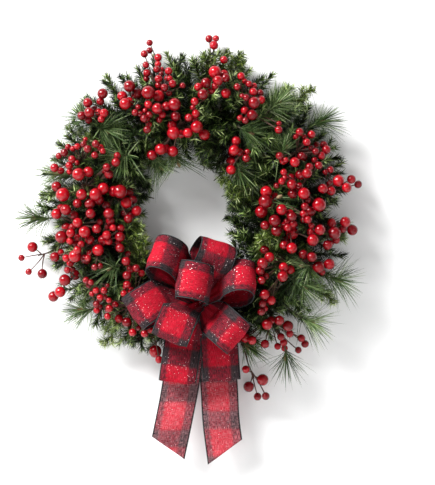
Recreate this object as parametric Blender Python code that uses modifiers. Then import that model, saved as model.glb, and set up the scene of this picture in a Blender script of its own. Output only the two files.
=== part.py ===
"""Christmas door wreath: a steel ring bound with evergreen stems, red berry sprays and a buffalo-check bow.

It faces -Y and hangs with its back on the plane y = 0. The origin is on the wire ring's back, at its top.
"""

import math
import random

import bmesh
import bpy
import numpy as np
from mathutils import Matrix, Vector

# Driving dimensions, in metres
RING_RADIUS = 0.170  # to the middle of the wire
RING_WIRE = 0.0025  # from the wire's middle to its flats
RING_STEPS = 40
BUNDLE_HALF_WIDTH = 0.009  # the bound stems, across
BUNDLE_HEIGHT = 0.016  # the bound stems, out from the door
CLEAR = 0.0004  # between pieces that touch
SECTORS = 12
SECTOR_GAP = math.radians(0.5)
TIE_ANGLE = math.radians(-86)  # where the bow is tied, and where two sectors meet
TIE_GAP = math.radians(1.1)

RIBBON_WIDTH = 0.0635  # a 2.5 inch ribbon
RIBBON_THICK = 0.0009
RIBBON_PINCH = 0.016  # its width where it is gathered
KNOT_DEPTH = 0.066
KNOT_RADIUS = 0.013
TIE_WIRE = 0.001

SHORT_NEEDLE = 0.016
FIR_NEEDLE = 0.012
LONG_NEEDLE = 0.050
CORE = 0.0021  # a twig's radius under its needles
WHORL = 0.0026  # the length of twig that one whorl of needles grows from
WHORL_TURN = -0.42  # each whorl is turned this far from the one below it
PICK_STEM = 0.0016
BERRY_STEM = 0.0013
SOCKET_DEPTH = 0.006

# The photograph is 435 x 485 pixels, and one pixel is this long at the wreath
PIXEL = 0.00172
RING_PIXEL = (195, 207)  # the ring's centre
HOLE_PIXEL = (190, 203)  # the hole's centre
KNOT_PIXEL = (202, 303)
HOLE_RADIUS = 0.072  # nothing reaches further in

# Each berry spray: where its twigs part, then each berry's place and width, all in pixels
BERRY_SPRAYS = {
    "top_left_sprig": ((160, 88), [(149, 41, 7), (144, 53, 8), (158, 64, 7), (147, 73, 8)]),
    "upper_left_rim": ((104, 108), [(103, 94, 11), (90, 113, 11), (88, 103, 10)]),
    "upper_left": ((142, 108), [(149, 94, 14), (130, 87, 12), (175, 106, 13)]),
    "upper_inner": ((182, 128), [(174, 134, 13), (197, 128, 13), (188, 134, 10), (161, 150, 12)]),
    "top_sprig": ((212, 58), [(209, 37, 8), (216, 38, 7), (214, 45, 9)]),
    "top_right": ((216, 90), [(215, 73, 13), (206, 84, 11), (203, 96, 11), (226, 94, 10)]),
    "upper_right": ((250, 108), [(254, 104, 12), (252, 116, 11), (246, 99, 7)]),
    "inner_right": ((238, 158), [(234, 151, 11), (231, 161, 10), (231, 170, 10)]),
    "right_shoulder": ((300, 150), [(299, 133, 8), (326, 150, 9), (303, 157, 10)]),
    "right_rim": ((336, 190), [(338, 181, 12), (352, 179, 9), (346, 188, 10)]),
    "right_high": ((302, 188), [(303, 194, 12), (318, 205, 14), (300, 175, 11)]),
    "right_inner": ((271, 207), [(265, 202, 14), (281, 210, 11), (291, 217, 10)]),
    "right_outer": ((334, 226), [(345, 222, 11), (334, 233, 13), (353, 230, 11)]),
    "right_middle": ((288, 230), [(274, 221, 12), (276, 231, 11), (292, 233, 13), (312, 240, 12)]),
    "right_low": ((296, 264), [(262, 263, 11), (282, 276, 11), (318, 267, 12), (329, 264, 11)]),
    "lower_right": ((276, 330), [(279, 320, 10), (267, 324, 11), (245, 338, 10)]),
    "bottom_sprig": ((254, 380), [(246, 370, 8), (263, 381, 12), (249, 388, 11), (266, 397, 8)]),
    "left_high": ((82, 186), [(80, 175, 13), (64, 195, 14), (97, 195, 13), (83, 195, 11)]),
    "left_shoulder": ((78, 158), [(97, 145, 8), (78, 147, 7), (59, 156, 7), (55, 168, 9)]),
    "left_inner": ((120, 196), [(121, 192, 14), (133, 200, 9), (137, 211, 11)]),
    "left_rim": ((74, 226), [(86, 232, 12), (62, 237, 13), (92, 214, 10), (57, 214, 11)]),
    "left_middle": ((102, 240), [(121, 237, 10), (99, 250, 12), (76, 256, 13)]),
    "left_low": ((66, 282), [(65, 280, 12), (60, 292, 11), (52, 297, 11)]),
    "left_sprig": ((36, 256), [(31, 247, 11), (20, 258, 7), (27, 272, 7), (41, 274, 10)]),
    "lower_left": ((130, 308), [(128, 275, 9), (127, 322, 10), (155, 352, 13)]),
}

# Long-needled pine picks: the bud's place in pixels, its depth in metres, and the way it points on the picture
PINE_TIPS = [
    ((277, 104), 0.075, 40),
    ((160, 166), 0.050, -50),
    ((112, 268), 0.085, 200),
    ((36, 218), 0.045, 178),
    ((302, 286), 0.080, -35),
    ((310, 322), 0.055, -20),
    ((286, 356), 0.045, -95),
    ((84, 118), 0.050, 140),
    ((82, 310), 0.050, 170),
]

# Long-needled tips that grow from the bound stems themselves
BOUND_PINE_TIPS = [
    ((249, 133), 0.085, -20),
    ((121, 156), 0.085, 180),
    ((106, 131), 0.070, -30),
    ((240, 172), 0.070, -50),
    ((320, 122), 0.050, 25),
    ((284, 150), 0.085, 50),
    ((277, 198), 0.085, 25),
    ((338, 280), 0.055, -12),
    ((304, 266), 0.080, 170),
    ((58, 174), 0.045, 168),
    ((178, 162), 0.060, -70),
]

# Yellow-green fir sprigs: the tip's place in pixels and its depth in metres
FIR_TIPS = [
    ((240, 52), 0.060),
    ((312, 86), 0.040),
    ((220, 184), 0.080),
    ((146, 236), 0.095),
    ((258, 238), 0.090),
    ((336, 302), 0.050),
    ((66, 128), 0.040),
    ((104, 346), 0.040),
]

# Bow loops: middle in pixels, depth, the way the width runs (degrees clockwise from up, then degrees that its
# top leans to the door), the way the round end turns about that width (degrees from straight ahead), and the
# loop's half length and half height
BOW_LOOPS = {
    "upper_left": ((167, 258), 0.105, 18, 25, -35, 0.036, 0.030),
    "upper_middle": ((211, 258), 0.098, 110, 15, -48, 0.036, 0.028),
    "middle": ((196, 282), 0.118, 12, 8, -4, 0.034, 0.029),
    "right": ((238, 283), 0.100, 4, 32, 38, 0.036, 0.027),
    "left": ((150, 304), 0.092, -35, 8, -52, 0.042, 0.026),
    "lower_left": ((178, 323), 0.106, 112, 0, 36, 0.036, 0.027),
    "lower_right": ((226, 327), 0.100, 41, 0, 34, 0.038, 0.027),
    "hanging_left": ((181, 357), 0.064, 98, 0, 78, 0.046, 0.013),
    "hanging_right": ((220, 354), 0.062, 86, 0, 80, 0.048, 0.013),
}

# Bow tails: the middle line in pixels with depths, and how far the right edge runs past the left at the cut
BOW_TAILS = {
    "left": (
        [(198, 318, 0.052), (186, 352, 0.046), (180, 389, 0.042), (174, 420, 0.046), (168, 449, 0.042)],
        0.040,
    ),
    "right": (
        [(208, 318, 0.054), (216, 352, 0.044), (219, 385, 0.040), (221, 420, 0.044), (225, 453, 0.040)],
        -0.044,
    ),
}

WREATH = "christmas_door_wreath"
FRONT = Vector((0, -1, 0))
UP = Vector((0, 0, 1))
ACROSS = Vector((1, 0, 0))
CENTRE = Vector((0, 0, -RING_RADIUS))
draw = random.Random(24)


def clear_scene():
    for obj in list(bpy.data.objects):
        bpy.data.objects.remove(obj, do_unlink=True)


def new_collection(name):
    found = bpy.data.collections.new(name)
    bpy.context.scene.collection.children.link(found)
    return found


def material(name, colour, roughness, metallic=0.0):
    made = bpy.data.materials.new(name)
    made.use_nodes = True
    shader = made.node_tree.nodes["Principled BSDF"]
    shader.inputs["Base Color"].default_value = (*colour, 1)
    shader.inputs["Roughness"].default_value = roughness
    shader.inputs["Metallic"].default_value = metallic
    return made


def from_pixels(x, y, depth):
    """The point in front of the door that shows at this pixel."""
    across = (x - RING_PIXEL[0]) * PIXEL
    up = (RING_PIXEL[1] - y) * PIXEL
    return CENTRE + ACROSS * across + UP * up + FRONT * depth


def ring_angle(point):
    return math.atan2(point.z - CENTRE.z, point.x)


def outward(angle):
    return ACROSS * math.cos(angle) + UP * math.sin(angle)


def along(angle):
    return UP * math.cos(angle) - ACROSS * math.sin(angle)


def from_ring(point):
    """How far the point lies from the ring's circle, seen from the front."""
    return abs(math.hypot(point.x, point.z - CENTRE.z) - RING_RADIUS)


def front_depth(point):
    """How far the foliage stands out from the door there."""
    return 0.108 - 0.055 * min(from_ring(point) / 0.095, 1.3) ** 2


class Space:
    """The room already taken, as rods of a start, an end and a radius at each, with their node."""

    def __init__(self):
        self.start, self.end, self.thick, self.node = [], [], [], []
        self.rows = None

    def add(self, node, start, end, thick_start, thick_end):
        self.start.append(tuple(start))
        self.end.append(tuple(end))
        self.thick.append((thick_start, thick_end))
        self.node.append(node)
        self.rows = None

    def tables(self):
        if self.rows is None:
            self.rows = [np.array(self.start), np.array(self.end), np.array(self.thick), np.array(self.node)]
        return self.rows

    def free(self, owner, start, end, thick_start, thick_end, clear=0.0006, besides=None):
        """True if a rod there would stay clear of every other owner's rods, besides one more."""
        if not self.start:
            return True
        starts, ends, thick, nodes = self.tables()
        first, run = np.array(start), np.array(end) - np.array(start)
        runs, apart = ends - starts, first - starts
        size, sizes = max(run @ run, 1e-12), np.maximum((runs * runs).sum(1), 1e-12)
        f, c, b = (runs * apart).sum(1), apart @ run, runs @ run
        across = size * sizes - b * b
        s = np.clip(np.where(across > 1e-16, (b * f - c * sizes) / np.maximum(across, 1e-16), 0), 0, 1)
        t = np.clip((b * s + f) / sizes, 0, 1)
        s = np.clip((b * t - c) / size, 0, 1)
        gap = np.linalg.norm(apart + s[:, None] * run - t[:, None] * runs, axis=1)
        own = thick_start + (thick_end - thick_start) * s
        other = thick[:, 0] + (thick[:, 1] - thick[:, 0]) * t
        return not bool(((gap < own + other + clear) & (nodes != owner) & (nodes != besides)).any())


def object_from(bm, name, collection, finish=None, turn_out=True):
    mesh = bpy.data.meshes.new(name)
    if turn_out:
        bmesh.ops.recalc_face_normals(bm, faces=bm.faces[:])
    bm.to_mesh(mesh)
    bm.free()
    made = bpy.data.objects.new(name, mesh)
    collection.objects.link(made)
    if finish:
        mesh.materials.append(finish)
    return made


def evaluated_copy(obj, name, collection):
    """A mesh object of what the modifiers make, in place of the object."""
    shown = obj.evaluated_get(bpy.context.evaluated_depsgraph_get())
    mesh = bpy.data.meshes.new_from_object(shown)
    made = bpy.data.objects.new(name, mesh)
    made.matrix_world = obj.matrix_world
    collection.objects.link(made)
    bpy.data.objects.remove(obj, do_unlink=True)
    return made


def boolean(obj, operation, others, name, collection):
    """The object joined with, or cut by, everything in a collection, whose objects are then removed."""
    step = obj.modifiers.new(operation.lower(), "BOOLEAN")
    step.operation = operation
    step.operand_type = "COLLECTION"
    step.collection = others
    step.solver = "MANIFOLD"
    made = evaluated_copy(obj, name, collection)
    for other in list(others.objects):
        bpy.data.objects.remove(other, do_unlink=True)
    bpy.data.collections.remove(others)
    return made


def keep_largest(obj):
    """Remove the specks that a union of thin strips can enclose."""
    bm = bmesh.new()
    bm.from_mesh(obj.data)
    left, islands = set(bm.verts), []
    while left:
        island, edge = set(), {left.pop()}
        while edge:
            island |= edge
            edge = {e.other_vert(v) for v in edge for e in v.link_edges} - island
        left -= island
        islands.append(island)
    largest = max(islands, key=len)
    bmesh.ops.delete(bm, geom=[v for v in bm.verts if v not in largest], context="VERTS")
    bm.to_mesh(obj.data)
    bm.free()


def across_of(direction):
    """Two directions square to this one and to each other."""
    helper = UP if abs(direction.z) < 0.8 else ACROSS
    side = direction.cross(helper).normalized()
    return side, direction.cross(side).normalized()


def loft(bm, rings, closed_tip=None, split=True):
    """Faces between rings of points, with a flat first end, and a flat or pointed last one."""
    rows = [[bm.verts.new(p) for p in ring] for ring in rings]
    count = len(rows[0])
    bands = []
    for low, high in zip(rows, rows[1:]):
        band = []
        for i in range(count):
            j = (i + 1) % count
            if split:
                band.append(bm.faces.new((low[i], low[j], high[j])))
                band.append(bm.faces.new((low[i], high[j], high[i])))
            else:
                band.append(bm.faces.new((low[i], low[j], high[j], high[i])))
        bands.append(band)
    bm.faces.new(rows[0][::-1])
    if closed_tip is None:
        bm.faces.new(rows[-1])
    else:
        tip = bm.verts.new(closed_tip)
        for i in range(count):
            bm.faces.new((rows[-1][i], rows[-1][(i + 1) % count], tip))
    return bands


def curve_point(path, t):
    """A point on the quadratic curve through a start, a pull and an end."""
    start, pull, end = path
    return start * (1 - t) ** 2 + pull * 2 * t * (1 - t) + end * t * t


def curve_way(path, t):
    start, pull, end = path
    return ((pull - start) * (1 - t) + (end - pull) * t).normalized()


def ring_points(centre, direction, radius, sides, turn):
    side, over = across_of(direction)
    angles = [turn + 2 * math.pi * i / sides for i in range(sides)]
    return [centre + (side * math.cos(a) + over * math.sin(a)) * radius for a in angles]


def in_hole(point):
    hole = from_pixels(*HOLE_PIXEL, 0)
    return math.hypot(point.x - hole.x, point.z - hole.z) < HOLE_RADIUS


def fits(node, start, end, thick_start, thick_end, space):
    in_reach = not in_hole(end) and end.y < -0.0012 and start.y < -0.0012
    return in_reach and space.free(node, start, end, thick_start, thick_end)


def needle_tip(base, normal, way, lean, long, node, space):
    """Where a needle from this base can end, clear of everything else, or None."""
    for scale, lift in ((1, 0), (1, 0.3), (1, -0.25), (0.75, 0.1), (0.5, 0.2)):
        angle = lean + lift
        heading = (way * math.cos(angle) + normal * math.sin(angle)).normalized()
        tip = base + heading * (long * scale)
        if fits(node, base + heading * 0.002, tip, 0.0014, 0.0002, space):
            return tip
    return None


def raise_needles(bm, band, middle, way, leans, long, node, space, rods):
    """Draw each face of a band of twig out into a needle."""
    for i, face in enumerate(band):
        base = face.calc_center_median()
        normal = base - middle
        normal = (normal - way * normal.dot(way)).normalized()
        lean = leans[i % 2] + draw.uniform(-0.12, 0.12)
        size = long * draw.uniform(0.86, 1.08)
        tip = needle_tip(base, normal, way, lean, size, node, space)
        if tip is None:
            continue
        bmesh.ops.poke(bm, faces=[face])["verts"][0].co = tip
        rods.append((base, tip, 0.0014, 0.0002))


def needled_twig(node, path, long, pitch, needled, leans, space, collection, radius=CORE):
    """A twig on a curve, bare near its root, with whorls of needles out to its pointed tip."""
    points = [curve_point(path, i / 8) for i in range(9)]
    length = sum((high - low).length for low, high in zip(points, points[1:]))
    bare = max(length - needled, 0.012)
    whorls = max(2, round((length - bare) / pitch))
    turn = draw.uniform(0, 2)
    stops = [bare / length * part for part in ((0, 0.18, 0.4, 0.7) if bare > 0.03 else (0,))]
    plain = len(stops)
    for k in range(whorls):
        start = (bare + (length - bare) * (k + 0.55) / whorls) / length
        stops += [min(start, 0.97), min(start, 0.97) + WHORL / length]
    thick = [radius * (1 - 0.35 * stop) for stop in stops]
    turns = [turn + WHORL_TURN * (max(i - plain + 2, 0) // 2) for i in range(len(stops))]
    rings = [
        ring_points(curve_point(path, t), curve_way(path, t), thick[i], 3, turns[i]) for i, t in enumerate(stops)
    ]
    end = path[2] + curve_way(path, 1) * long * 0.8
    if not fits(node, path[2], end, 0.0014, 0.0002, space):
        end = path[2] + curve_way(path, 1) * 0.004
    bm = bmesh.new()
    bands = loft(bm, rings, closed_tip=end)
    rods = [(path[2], end, 0.0014, 0.0002)]
    for k in range(whorls):
        t = stops[plain + 2 * k]
        middle, way = curve_point(path, t + 0.5 * WHORL / length), curve_way(path, t)
        raise_needles(bm, bands[plain + 2 * k], middle, way, leans, long, node, space, rods)
    made = object_from(bm, "twig", collection, turn_out=False)
    for rod in rods:
        space.add(node + made.name, *rod)
    return made


def claim_path(node, path, radius, space):
    points = [curve_point(path, t) for t in (0, 0.25, 0.5, 0.75, 1)]
    for low, high in zip(points, points[1:]):
        space.add(node, low, high, radius, radius)


def path_free(node, path, radius, space, clear=0.0008):
    points = [curve_point(path, i / 4) for i in range(5)]
    return all(space.free(node, a, b, radius, radius, clear) for a, b in zip(points, points[1:]))


def wire_ring(collection, finish):
    """The steel ring, a six-sided wire with one flat towards the door."""
    bm = bmesh.new()
    corner = RING_WIRE / math.cos(math.pi / 6)
    section = []
    for i in range(6):
        angle = i * math.pi / 3
        place = CENTRE + ACROSS * (RING_RADIUS + corner * math.cos(angle)) + FRONT * RING_WIRE
        section.append(bm.verts.new(place + FRONT * corner * math.sin(angle)))
    bm.faces.new(section)
    faces = bm.faces[:]
    bmesh.ops.spin(
        bm, geom=faces + bm.edges[:] + bm.verts[:], cent=CENTRE, axis=(0, 1, 0),
        angle=2 * math.pi, steps=RING_STEPS, use_merge=True, use_duplicate=False,
    )
    bmesh.ops.delete(bm, geom=[f for f in bm.faces if len(f.verts) == 6], context="FACES_ONLY")
    bmesh.ops.remove_doubles(bm, verts=bm.verts[:], dist=1e-6)
    return object_from(bm, "wire_ring", collection, finish)


def bundle_section(angle):
    """The bound stems' outline there: a low arch with a groove for the wire in its back."""
    groove = RING_WIRE / math.cos(math.pi / 6) + 2 * CLEAR
    deep = 2 * RING_WIRE + CLEAR
    wide, high = BUNDLE_HALF_WIDTH, BUNDLE_HEIGHT
    arch = [(-0.88, 0.02), (-1, 0.4), (-0.72, 0.8), (0, 1), (0.72, 0.8), (1, 0.4), (0.88, 0.02)]
    outline = [(u * wide, v * high) for u, v in arch]
    outline += [(groove, 0.02 * high), (groove, deep), (-groove, deep), (-groove, 0.02 * high)]
    way = outward(angle)
    return [CENTRE + way * (RING_RADIUS + u) + FRONT * v for u, v in outline]


def bound_stems(low, high, steps, collection):
    bm = bmesh.new()
    rings = [bundle_section(low + (high - low) * i / steps) for i in range(steps + 1)]
    loft(bm, rings)
    return object_from(bm, "bound_stems", collection)


def sector_span(k):
    """The angles where sector k starts and ends."""
    step = 2 * math.pi / SECTORS
    gap_before = TIE_GAP if k == 0 else SECTOR_GAP
    gap_after = TIE_GAP if k == SECTORS - 1 else SECTOR_GAP
    return TIE_ANGLE + k * step + gap_before, TIE_ANGLE + (k + 1) * step - gap_after


def root_on_bundle(angle, lean):
    """A root inside the bound stems, and the way it leaves them: lean 0 is outward and 90 degrees is forward."""
    way = (outward(angle) * math.cos(lean) + FRONT * math.sin(lean)).normalized()
    middle = CENTRE + outward(angle) * RING_RADIUS + FRONT * 0.0085
    return middle, way


def sector_twigs(k):
    """The root angle, lean, reach and sideways sweep of each twig in a sector."""
    low, high = sector_span(k)
    leans = (12, 52, 100, 150, 28)
    reaches = (0.096, 0.092, 0.078, 0.084, 0.088)
    sweeps = (0.35, -0.3, 0.25, -0.2, -0.45)
    for i, (lean, reach, sweep) in enumerate(zip(leans, reaches, sweeps)):
        part = (i * 0.38 + 0.14) % 0.9 + 0.05
        angle = low + (high - low) * part
        turned = lean + draw.uniform(-9, 9)
        yield angle, math.radians(turned), reach * draw.uniform(0.94, 1.06), sweep + draw.uniform(-0.15, 0.15)


def twig_path(angle, lean, reach, sweep, depth_of_root=0.005):
    middle, way = root_on_bundle(angle, lean)
    start = middle + way * (BUNDLE_HALF_WIDTH - 0.001 - depth_of_root)
    heading = (way + along(angle) * sweep).normalized()
    pull = start + way * reach * 0.45
    end = start + heading * reach
    if end.y > -0.012:
        end.y = -0.012
    return start, pull, end


def free_twig(node, angle, lean, reach, sweep, space):
    """The twig's path, turned or shortened until it is clear of what is already there."""
    for shrink in (1, 0.94, 0.86, 0.76, 0.64):
        for turn, shift in ((0, 0), (0.12, 0), (-0.12, 0), (0, 0.25), (0, -0.25), (0.25, 0.2), (-0.25, -0.2)):
            path = twig_path(angle, lean + turn, reach * shrink, sweep + shift)
            if not in_hole(path[2]) and path_free(node, path, CORE + 0.0012, space):
                return path
    return None


def bound_pine(name, pixel, depth, heading, space):
    """The sector that a long-needled tip grows from, and its path, or None."""
    turn = math.radians(heading)
    way = (ACROSS * math.cos(turn) + UP * math.sin(turn) + FRONT * 0.35).normalized()
    for step in (0, 0.006, -0.008, 0.014, -0.016):
        tip = from_pixels(*pixel, depth + step)
        neck = tip - way * 0.03
        near = ring_angle(neck)
        lean = math.atan2(max(-neck.y - 0.0085, 0.004), math.hypot(neck.x, neck.z - CENTRE.z) - RING_RADIUS)
        lean = min(max(lean, math.radians(25)), math.radians(155))
        for shift in (0, 0.06, -0.06, 0.11, -0.11, 0.17, -0.17, 0.23, -0.23):
            if in_sector_gap(near + shift):
                continue
            middle, leave = root_on_bundle(near + shift, lean)
            root = middle + leave * (BUNDLE_HALF_WIDTH - 0.006)
            path = (root, root + leave * (tip - root).length * 0.45, tip)
            if path_free(name, path, CORE, space):
                return sector_of(near + shift), path
    return None


def foliage_sector(k, paths, space, collection, finish, sockets):
    """One stretch of bound stems with its pine tips grown from it: each path comes with its needles."""
    name = f"pine_foliage_{k + 1:02d}"
    low, high = sector_span(k)
    stems = bound_stems(low, high, 4, collection)
    if sockets:
        holes = new_collection("holes")
        for path, radius in sockets:
            socket_cutter(path, radius, holes)
        stems = boolean(stems, "DIFFERENCE", holes, "bound_stems", collection)
    twigs = new_collection("twigs")
    for owner, path, needles in paths:
        needled_twig(owner, path, *needles, space, twigs)
    made = boolean(stems, "UNION", twigs, name, collection)
    made.data.materials.clear()
    made.data.materials.append(finish)
    return made


def socket_cutter(path, radius, collection):
    """A hole that a stem's root stands in, along the stem's own curve."""
    wide = (radius + CLEAR) / math.cos(math.pi / 6)
    length = (path[1] - path[0]).length + (path[2] - path[1]).length
    stops = [0.045 / length * i / 7 for i in range(8)]
    rings = [ring_points(curve_point(path, t), curve_way(path, t), wide, 6, 0) for t in stops]
    back = curve_way(path, 0) * CLEAR
    rings[0] = [point - back for point in rings[0]]
    bm = bmesh.new()
    loft(bm, rings)
    made = object_from(bm, "hole", collection)
    made.hide_render = True
    made.display_type = "WIRE"
    return made


def socket_root(point, space, node, radius):
    """Where a pick's stem enters the bound stems: the nearest free place on the ring to the point."""
    near = ring_angle(point)
    lean = math.atan2(max(-point.y - 0.0085, 0.004), math.hypot(point.x, point.z - CENTRE.z) - RING_RADIUS)
    lean = min(max(lean, math.radians(35)), math.radians(145))
    for shift in (0, 0.05, -0.05, 0.09, -0.09, 0.13, -0.13, 0.18, -0.18, 0.24, -0.24):
        angle = near + shift
        if in_sector_gap(angle):
            continue
        middle, way = root_on_bundle(angle, lean)
        surface = middle + way * BUNDLE_HALF_WIDTH * 0.75
        end = surface + way * 0.012
        if space.free(node, middle, end, radius + 0.0012, radius + 0.0012):
            return surface - way * SOCKET_DEPTH * 0.7, way
    return None


def in_sector_gap(angle):
    step = 2 * math.pi / SECTORS
    part = ((angle - TIE_ANGLE) / step) % 1
    return part < 0.09 or part > 0.91


def sector_of(angle):
    return int(((angle - TIE_ANGLE) / (2 * math.pi / SECTORS)) % SECTORS)


def grow_berry(bm, band, path, width):
    """Draw the nearest face of a band of stem out into a twig with a berry on its end."""
    way = curve_way(path, 1)
    face = max(band, key=lambda f: (path[2] - path[0]).dot(f.calc_center_median() - path[0]))
    side = face.verts[0].co - face.calc_center_median()
    twig = BERRY_STEM * 0.8
    length = (path[2] - path[0]).length
    leave = max(0.2, 0.0042 / length)
    stations = [(curve_point(path, leave), curve_way(path, leave), twig)] if length * (1 - leave) > width * 0.6 else []
    stations.append((path[2] - way * width * 0.49, way, twig))
    for latitude in (-0.62, 0, 0.62) if width > 0.0155 else (-0.45, 0.45):
        radius = width / 2 * math.sqrt(1 - latitude * latitude) * 1.1
        stations.append((path[2] + way * latitude * width / 2, way, radius))
    for centre, ahead, radius in stations:
        face = bmesh.ops.extrude_discrete_faces(bm, faces=[face])["faces"][0]
        side = (side - ahead * side.dot(ahead)).normalized()
        over = ahead.cross(side)
        for i, vert in enumerate(face.verts):
            angle = i * math.pi / 2
            vert.co = centre + (side * math.cos(angle) + over * math.sin(angle)) * radius
    bmesh.ops.poke(bm, faces=[face])["verts"][0].co = path[2] + way * width / 2


def berry_depths(place):
    front = front_depth(place)
    return [front + step for step in (0.004, -0.004, 0.012, -0.012, 0.02, -0.02, 0.028, -0.028)]


def settle_berry(node, own, pixel, joint, width, space):
    """The berry's place, and its twig's path, where both are clear of all but the joint they grow from."""
    for depth in berry_depths(from_pixels(*pixel, 0)):
        place = from_pixels(*pixel, max(depth, width))
        path = (joint, joint.lerp(place, 0.5) + FRONT * 0.004, place)
        points = [curve_point(path, i / 5) for i in range(6)]
        thick = BERRY_STEM * 1.2
        near = space.free(own, points[0], points[1], thick, thick, besides=node)
        if near and all(space.free(own, a, b, thick, thick) for a, b in zip(points[1:], points[2:])):
            if space.free(own, place, place + FRONT * 1e-5, width * 0.56, width * 0.56):
                return path
    return None


def berry_spray(name, fork_pixel, berries, space, collection, finish, sockets):
    """A wire stem that parts into twigs, each with a berry on its end."""
    node = f"berry_spray_{name}"
    flat = from_pixels(*fork_pixel, 0)
    for drop in (0.026, 0.034, 0.018, 0.042, 0.05):
        fork = from_pixels(*fork_pixel, max(front_depth(flat) - drop, 0.016))
        found = socket_root(fork, space, node, BERRY_STEM)
        if not found:
            continue
        root, way = found
        path = (root, root + way * (fork - root).length * 0.5, fork)
        if path_free(node, path, BERRY_STEM, space):
            break
    else:
        raise RuntimeError(f"{node}: no free way from the ring")
    claim_path(node, path, BERRY_STEM, space)
    length = (path[1] - path[0]).length + (path[2] - path[1]).length
    half = BERRY_STEM * 0.9 / length
    grown = []
    for i, (x, y, across) in enumerate(berries):
        share = 0.96 - 0.09 * i
        own = f"{node}/{i}"
        twig = settle_berry(node, own, (x, y), curve_point(path, share), across * PIXEL, space)
        if twig is None:
            continue
        claim_path(own, twig, BERRY_STEM * 0.8, space)
        space.add(own, twig[2], twig[2] + FRONT * 1e-5, across * PIXEL * 0.55, across * PIXEL * 0.55)
        grown.append((share, twig, across * PIXEL))
    stops = [0, 0.25, 0.5]
    for share, _, _ in reversed(grown):
        stops += [share - half, share + half]
    bm = bmesh.new()
    rings = [ring_points(curve_point(path, t), curve_way(path, t), BERRY_STEM, 3, 0) for t in stops]
    bands = loft(bm, rings, split=False)
    for i, (_, twig, width) in enumerate(reversed(grown)):
        grow_berry(bm, bands[3 + 2 * i], twig, width)
    sockets.append((sector_of(ring_angle(root)), (path, BERRY_STEM)))
    return object_from(bm, node, collection, finish, turn_out=False)


def pick_path(node, tip, way, reach, space):
    """A stem from the bound stems to where a tip starts, and the tip's own path."""
    for shrink in (1, 0.85, 0.7):
        neck = tip - way * reach * shrink
        neck.y = min(neck.y, -0.014)
        found = socket_root(neck, space, node, PICK_STEM)
        if not found:
            continue
        root, leave = found
        path = (root, root + leave * (tip - root).length * 0.45, tip)
        if path_free(node, path, CORE, space):
            return path
    return None


def needled_pick(name, tip, way, reach, needles, space, collection, finish, sockets):
    """A separate twig, pine or fir, whose root stands in the bound stems."""
    path = None
    for step in (0, 0.006, -0.008, 0.014, -0.016, 0.022):
        path = pick_path(name, tip + FRONT * step, way, reach, space)
        if path:
            break
    if not path:
        return None
    claim_path(name, path, CORE, space)
    sockets.append((sector_of(ring_angle(path[0])), (path, CORE)))
    return name, path, needles, collection, finish


def finish_pick(plan, space):
    name, path, needles, collection, finish = plan
    made = needled_twig(name, path, *needles, space, collection)
    made.name = name
    made.data.materials.append(finish)
    return made


def plan_pines(space, collection, finish, sockets):
    plans = []
    for i, (pixel, depth, heading) in enumerate(PINE_TIPS):
        turn = math.radians(heading)
        way = (ACROSS * math.cos(turn) + UP * math.sin(turn) + FRONT * 0.35).normalized()
        name = f"long_needle_pine_{i + 1}"
        tip = from_pixels(*pixel, depth)
        needles = (LONG_NEEDLE, 0.0052, 0.030, (0.45, 0.85))
        plan = needled_pick(name, tip, way, 0.03, needles, space, collection, finish, sockets)
        plans += [plan] if plan else []
    return plans


def plan_firs(space, collection, finish, sockets):
    plans = []
    for i, (pixel, depth) in enumerate(FIR_TIPS):
        tip = from_pixels(*pixel, depth)
        side = 1 if (tip - CENTRE).xz.length > RING_RADIUS else -1
        way = (outward(ring_angle(tip)) * side + FRONT * 0.3).normalized()
        name = f"fir_sprig_{i + 1}"
        needles = (FIR_NEEDLE, 0.0095, 0.052, (0.8, 1.2))
        plan = needled_pick(name, tip, way, 0.04, needles, space, collection, finish, sockets)
        plans += [plan] if plan else []
    return plans


def width_of(roll, lean):
    """The way a ribbon's width runs."""
    turn, tilt = math.radians(roll), math.radians(lean)
    return (ACROSS * math.sin(turn) + UP * math.cos(turn)) * math.cos(tilt) - FRONT * math.sin(tilt)


def loop_line(centre, width_way, turn, half_long, half_high, knot, steps=14):
    """The middle line of a bow loop and its width at each point: round the far end and back to the knot."""
    ahead = Matrix.Rotation(math.radians(turn), 3, width_way) @ FRONT
    ahead = (ahead - width_way * ahead.dot(width_way)).normalized()
    over = width_way.cross(ahead).normalized()
    line = []
    for i in range(steps + 1):
        part = 2 * i / steps - 1
        share = min(abs(part) / 0.72, 1)
        swing = math.copysign(share * math.radians(128), part)
        body = centre + ahead * half_long * math.cos(swing) + over * half_high * math.sin(swing)
        into = max(abs(part) - 0.72, 0) / 0.28
        eased = into * into * (3 - 2 * into)
        root = knot + over * math.copysign(KNOT_RADIUS * 0.36, part)
        line.append((body.lerp(root, eased), 1 + (RIBBON_PINCH / RIBBON_WIDTH - 1) * eased))
    return line


def ribbon_strip(line, width_way, collection, cut=0.0, columns=1):
    """A thin closed strip of ribbon along a line, with its last edge cut aslant."""
    bm = bmesh.new()
    rows = []
    for i, (point, share) in enumerate(line):
        last = (i / (len(line) - 1)) ** 6
        run = line[-1][0] - line[-2][0]
        row = []
        for j in range(columns + 1):
            u = 2 * j / columns - 1
            aside = width_way * (u * share * RIBBON_WIDTH / 2)
            row.append(bm.verts.new(point + aside + run.normalized() * (cut / 2 * u * last)))
        rows.append(row)
    for low, high in zip(rows, rows[1:]):
        for j in range(columns):
            bm.faces.new((low[j], low[j + 1], high[j + 1], high[j]))
    strip = object_from(bm, "strip", collection)
    thicken = strip.modifiers.new("thickness", "SOLIDIFY")
    thicken.thickness = RIBBON_THICK
    thicken.offset = 0
    return strip


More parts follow.
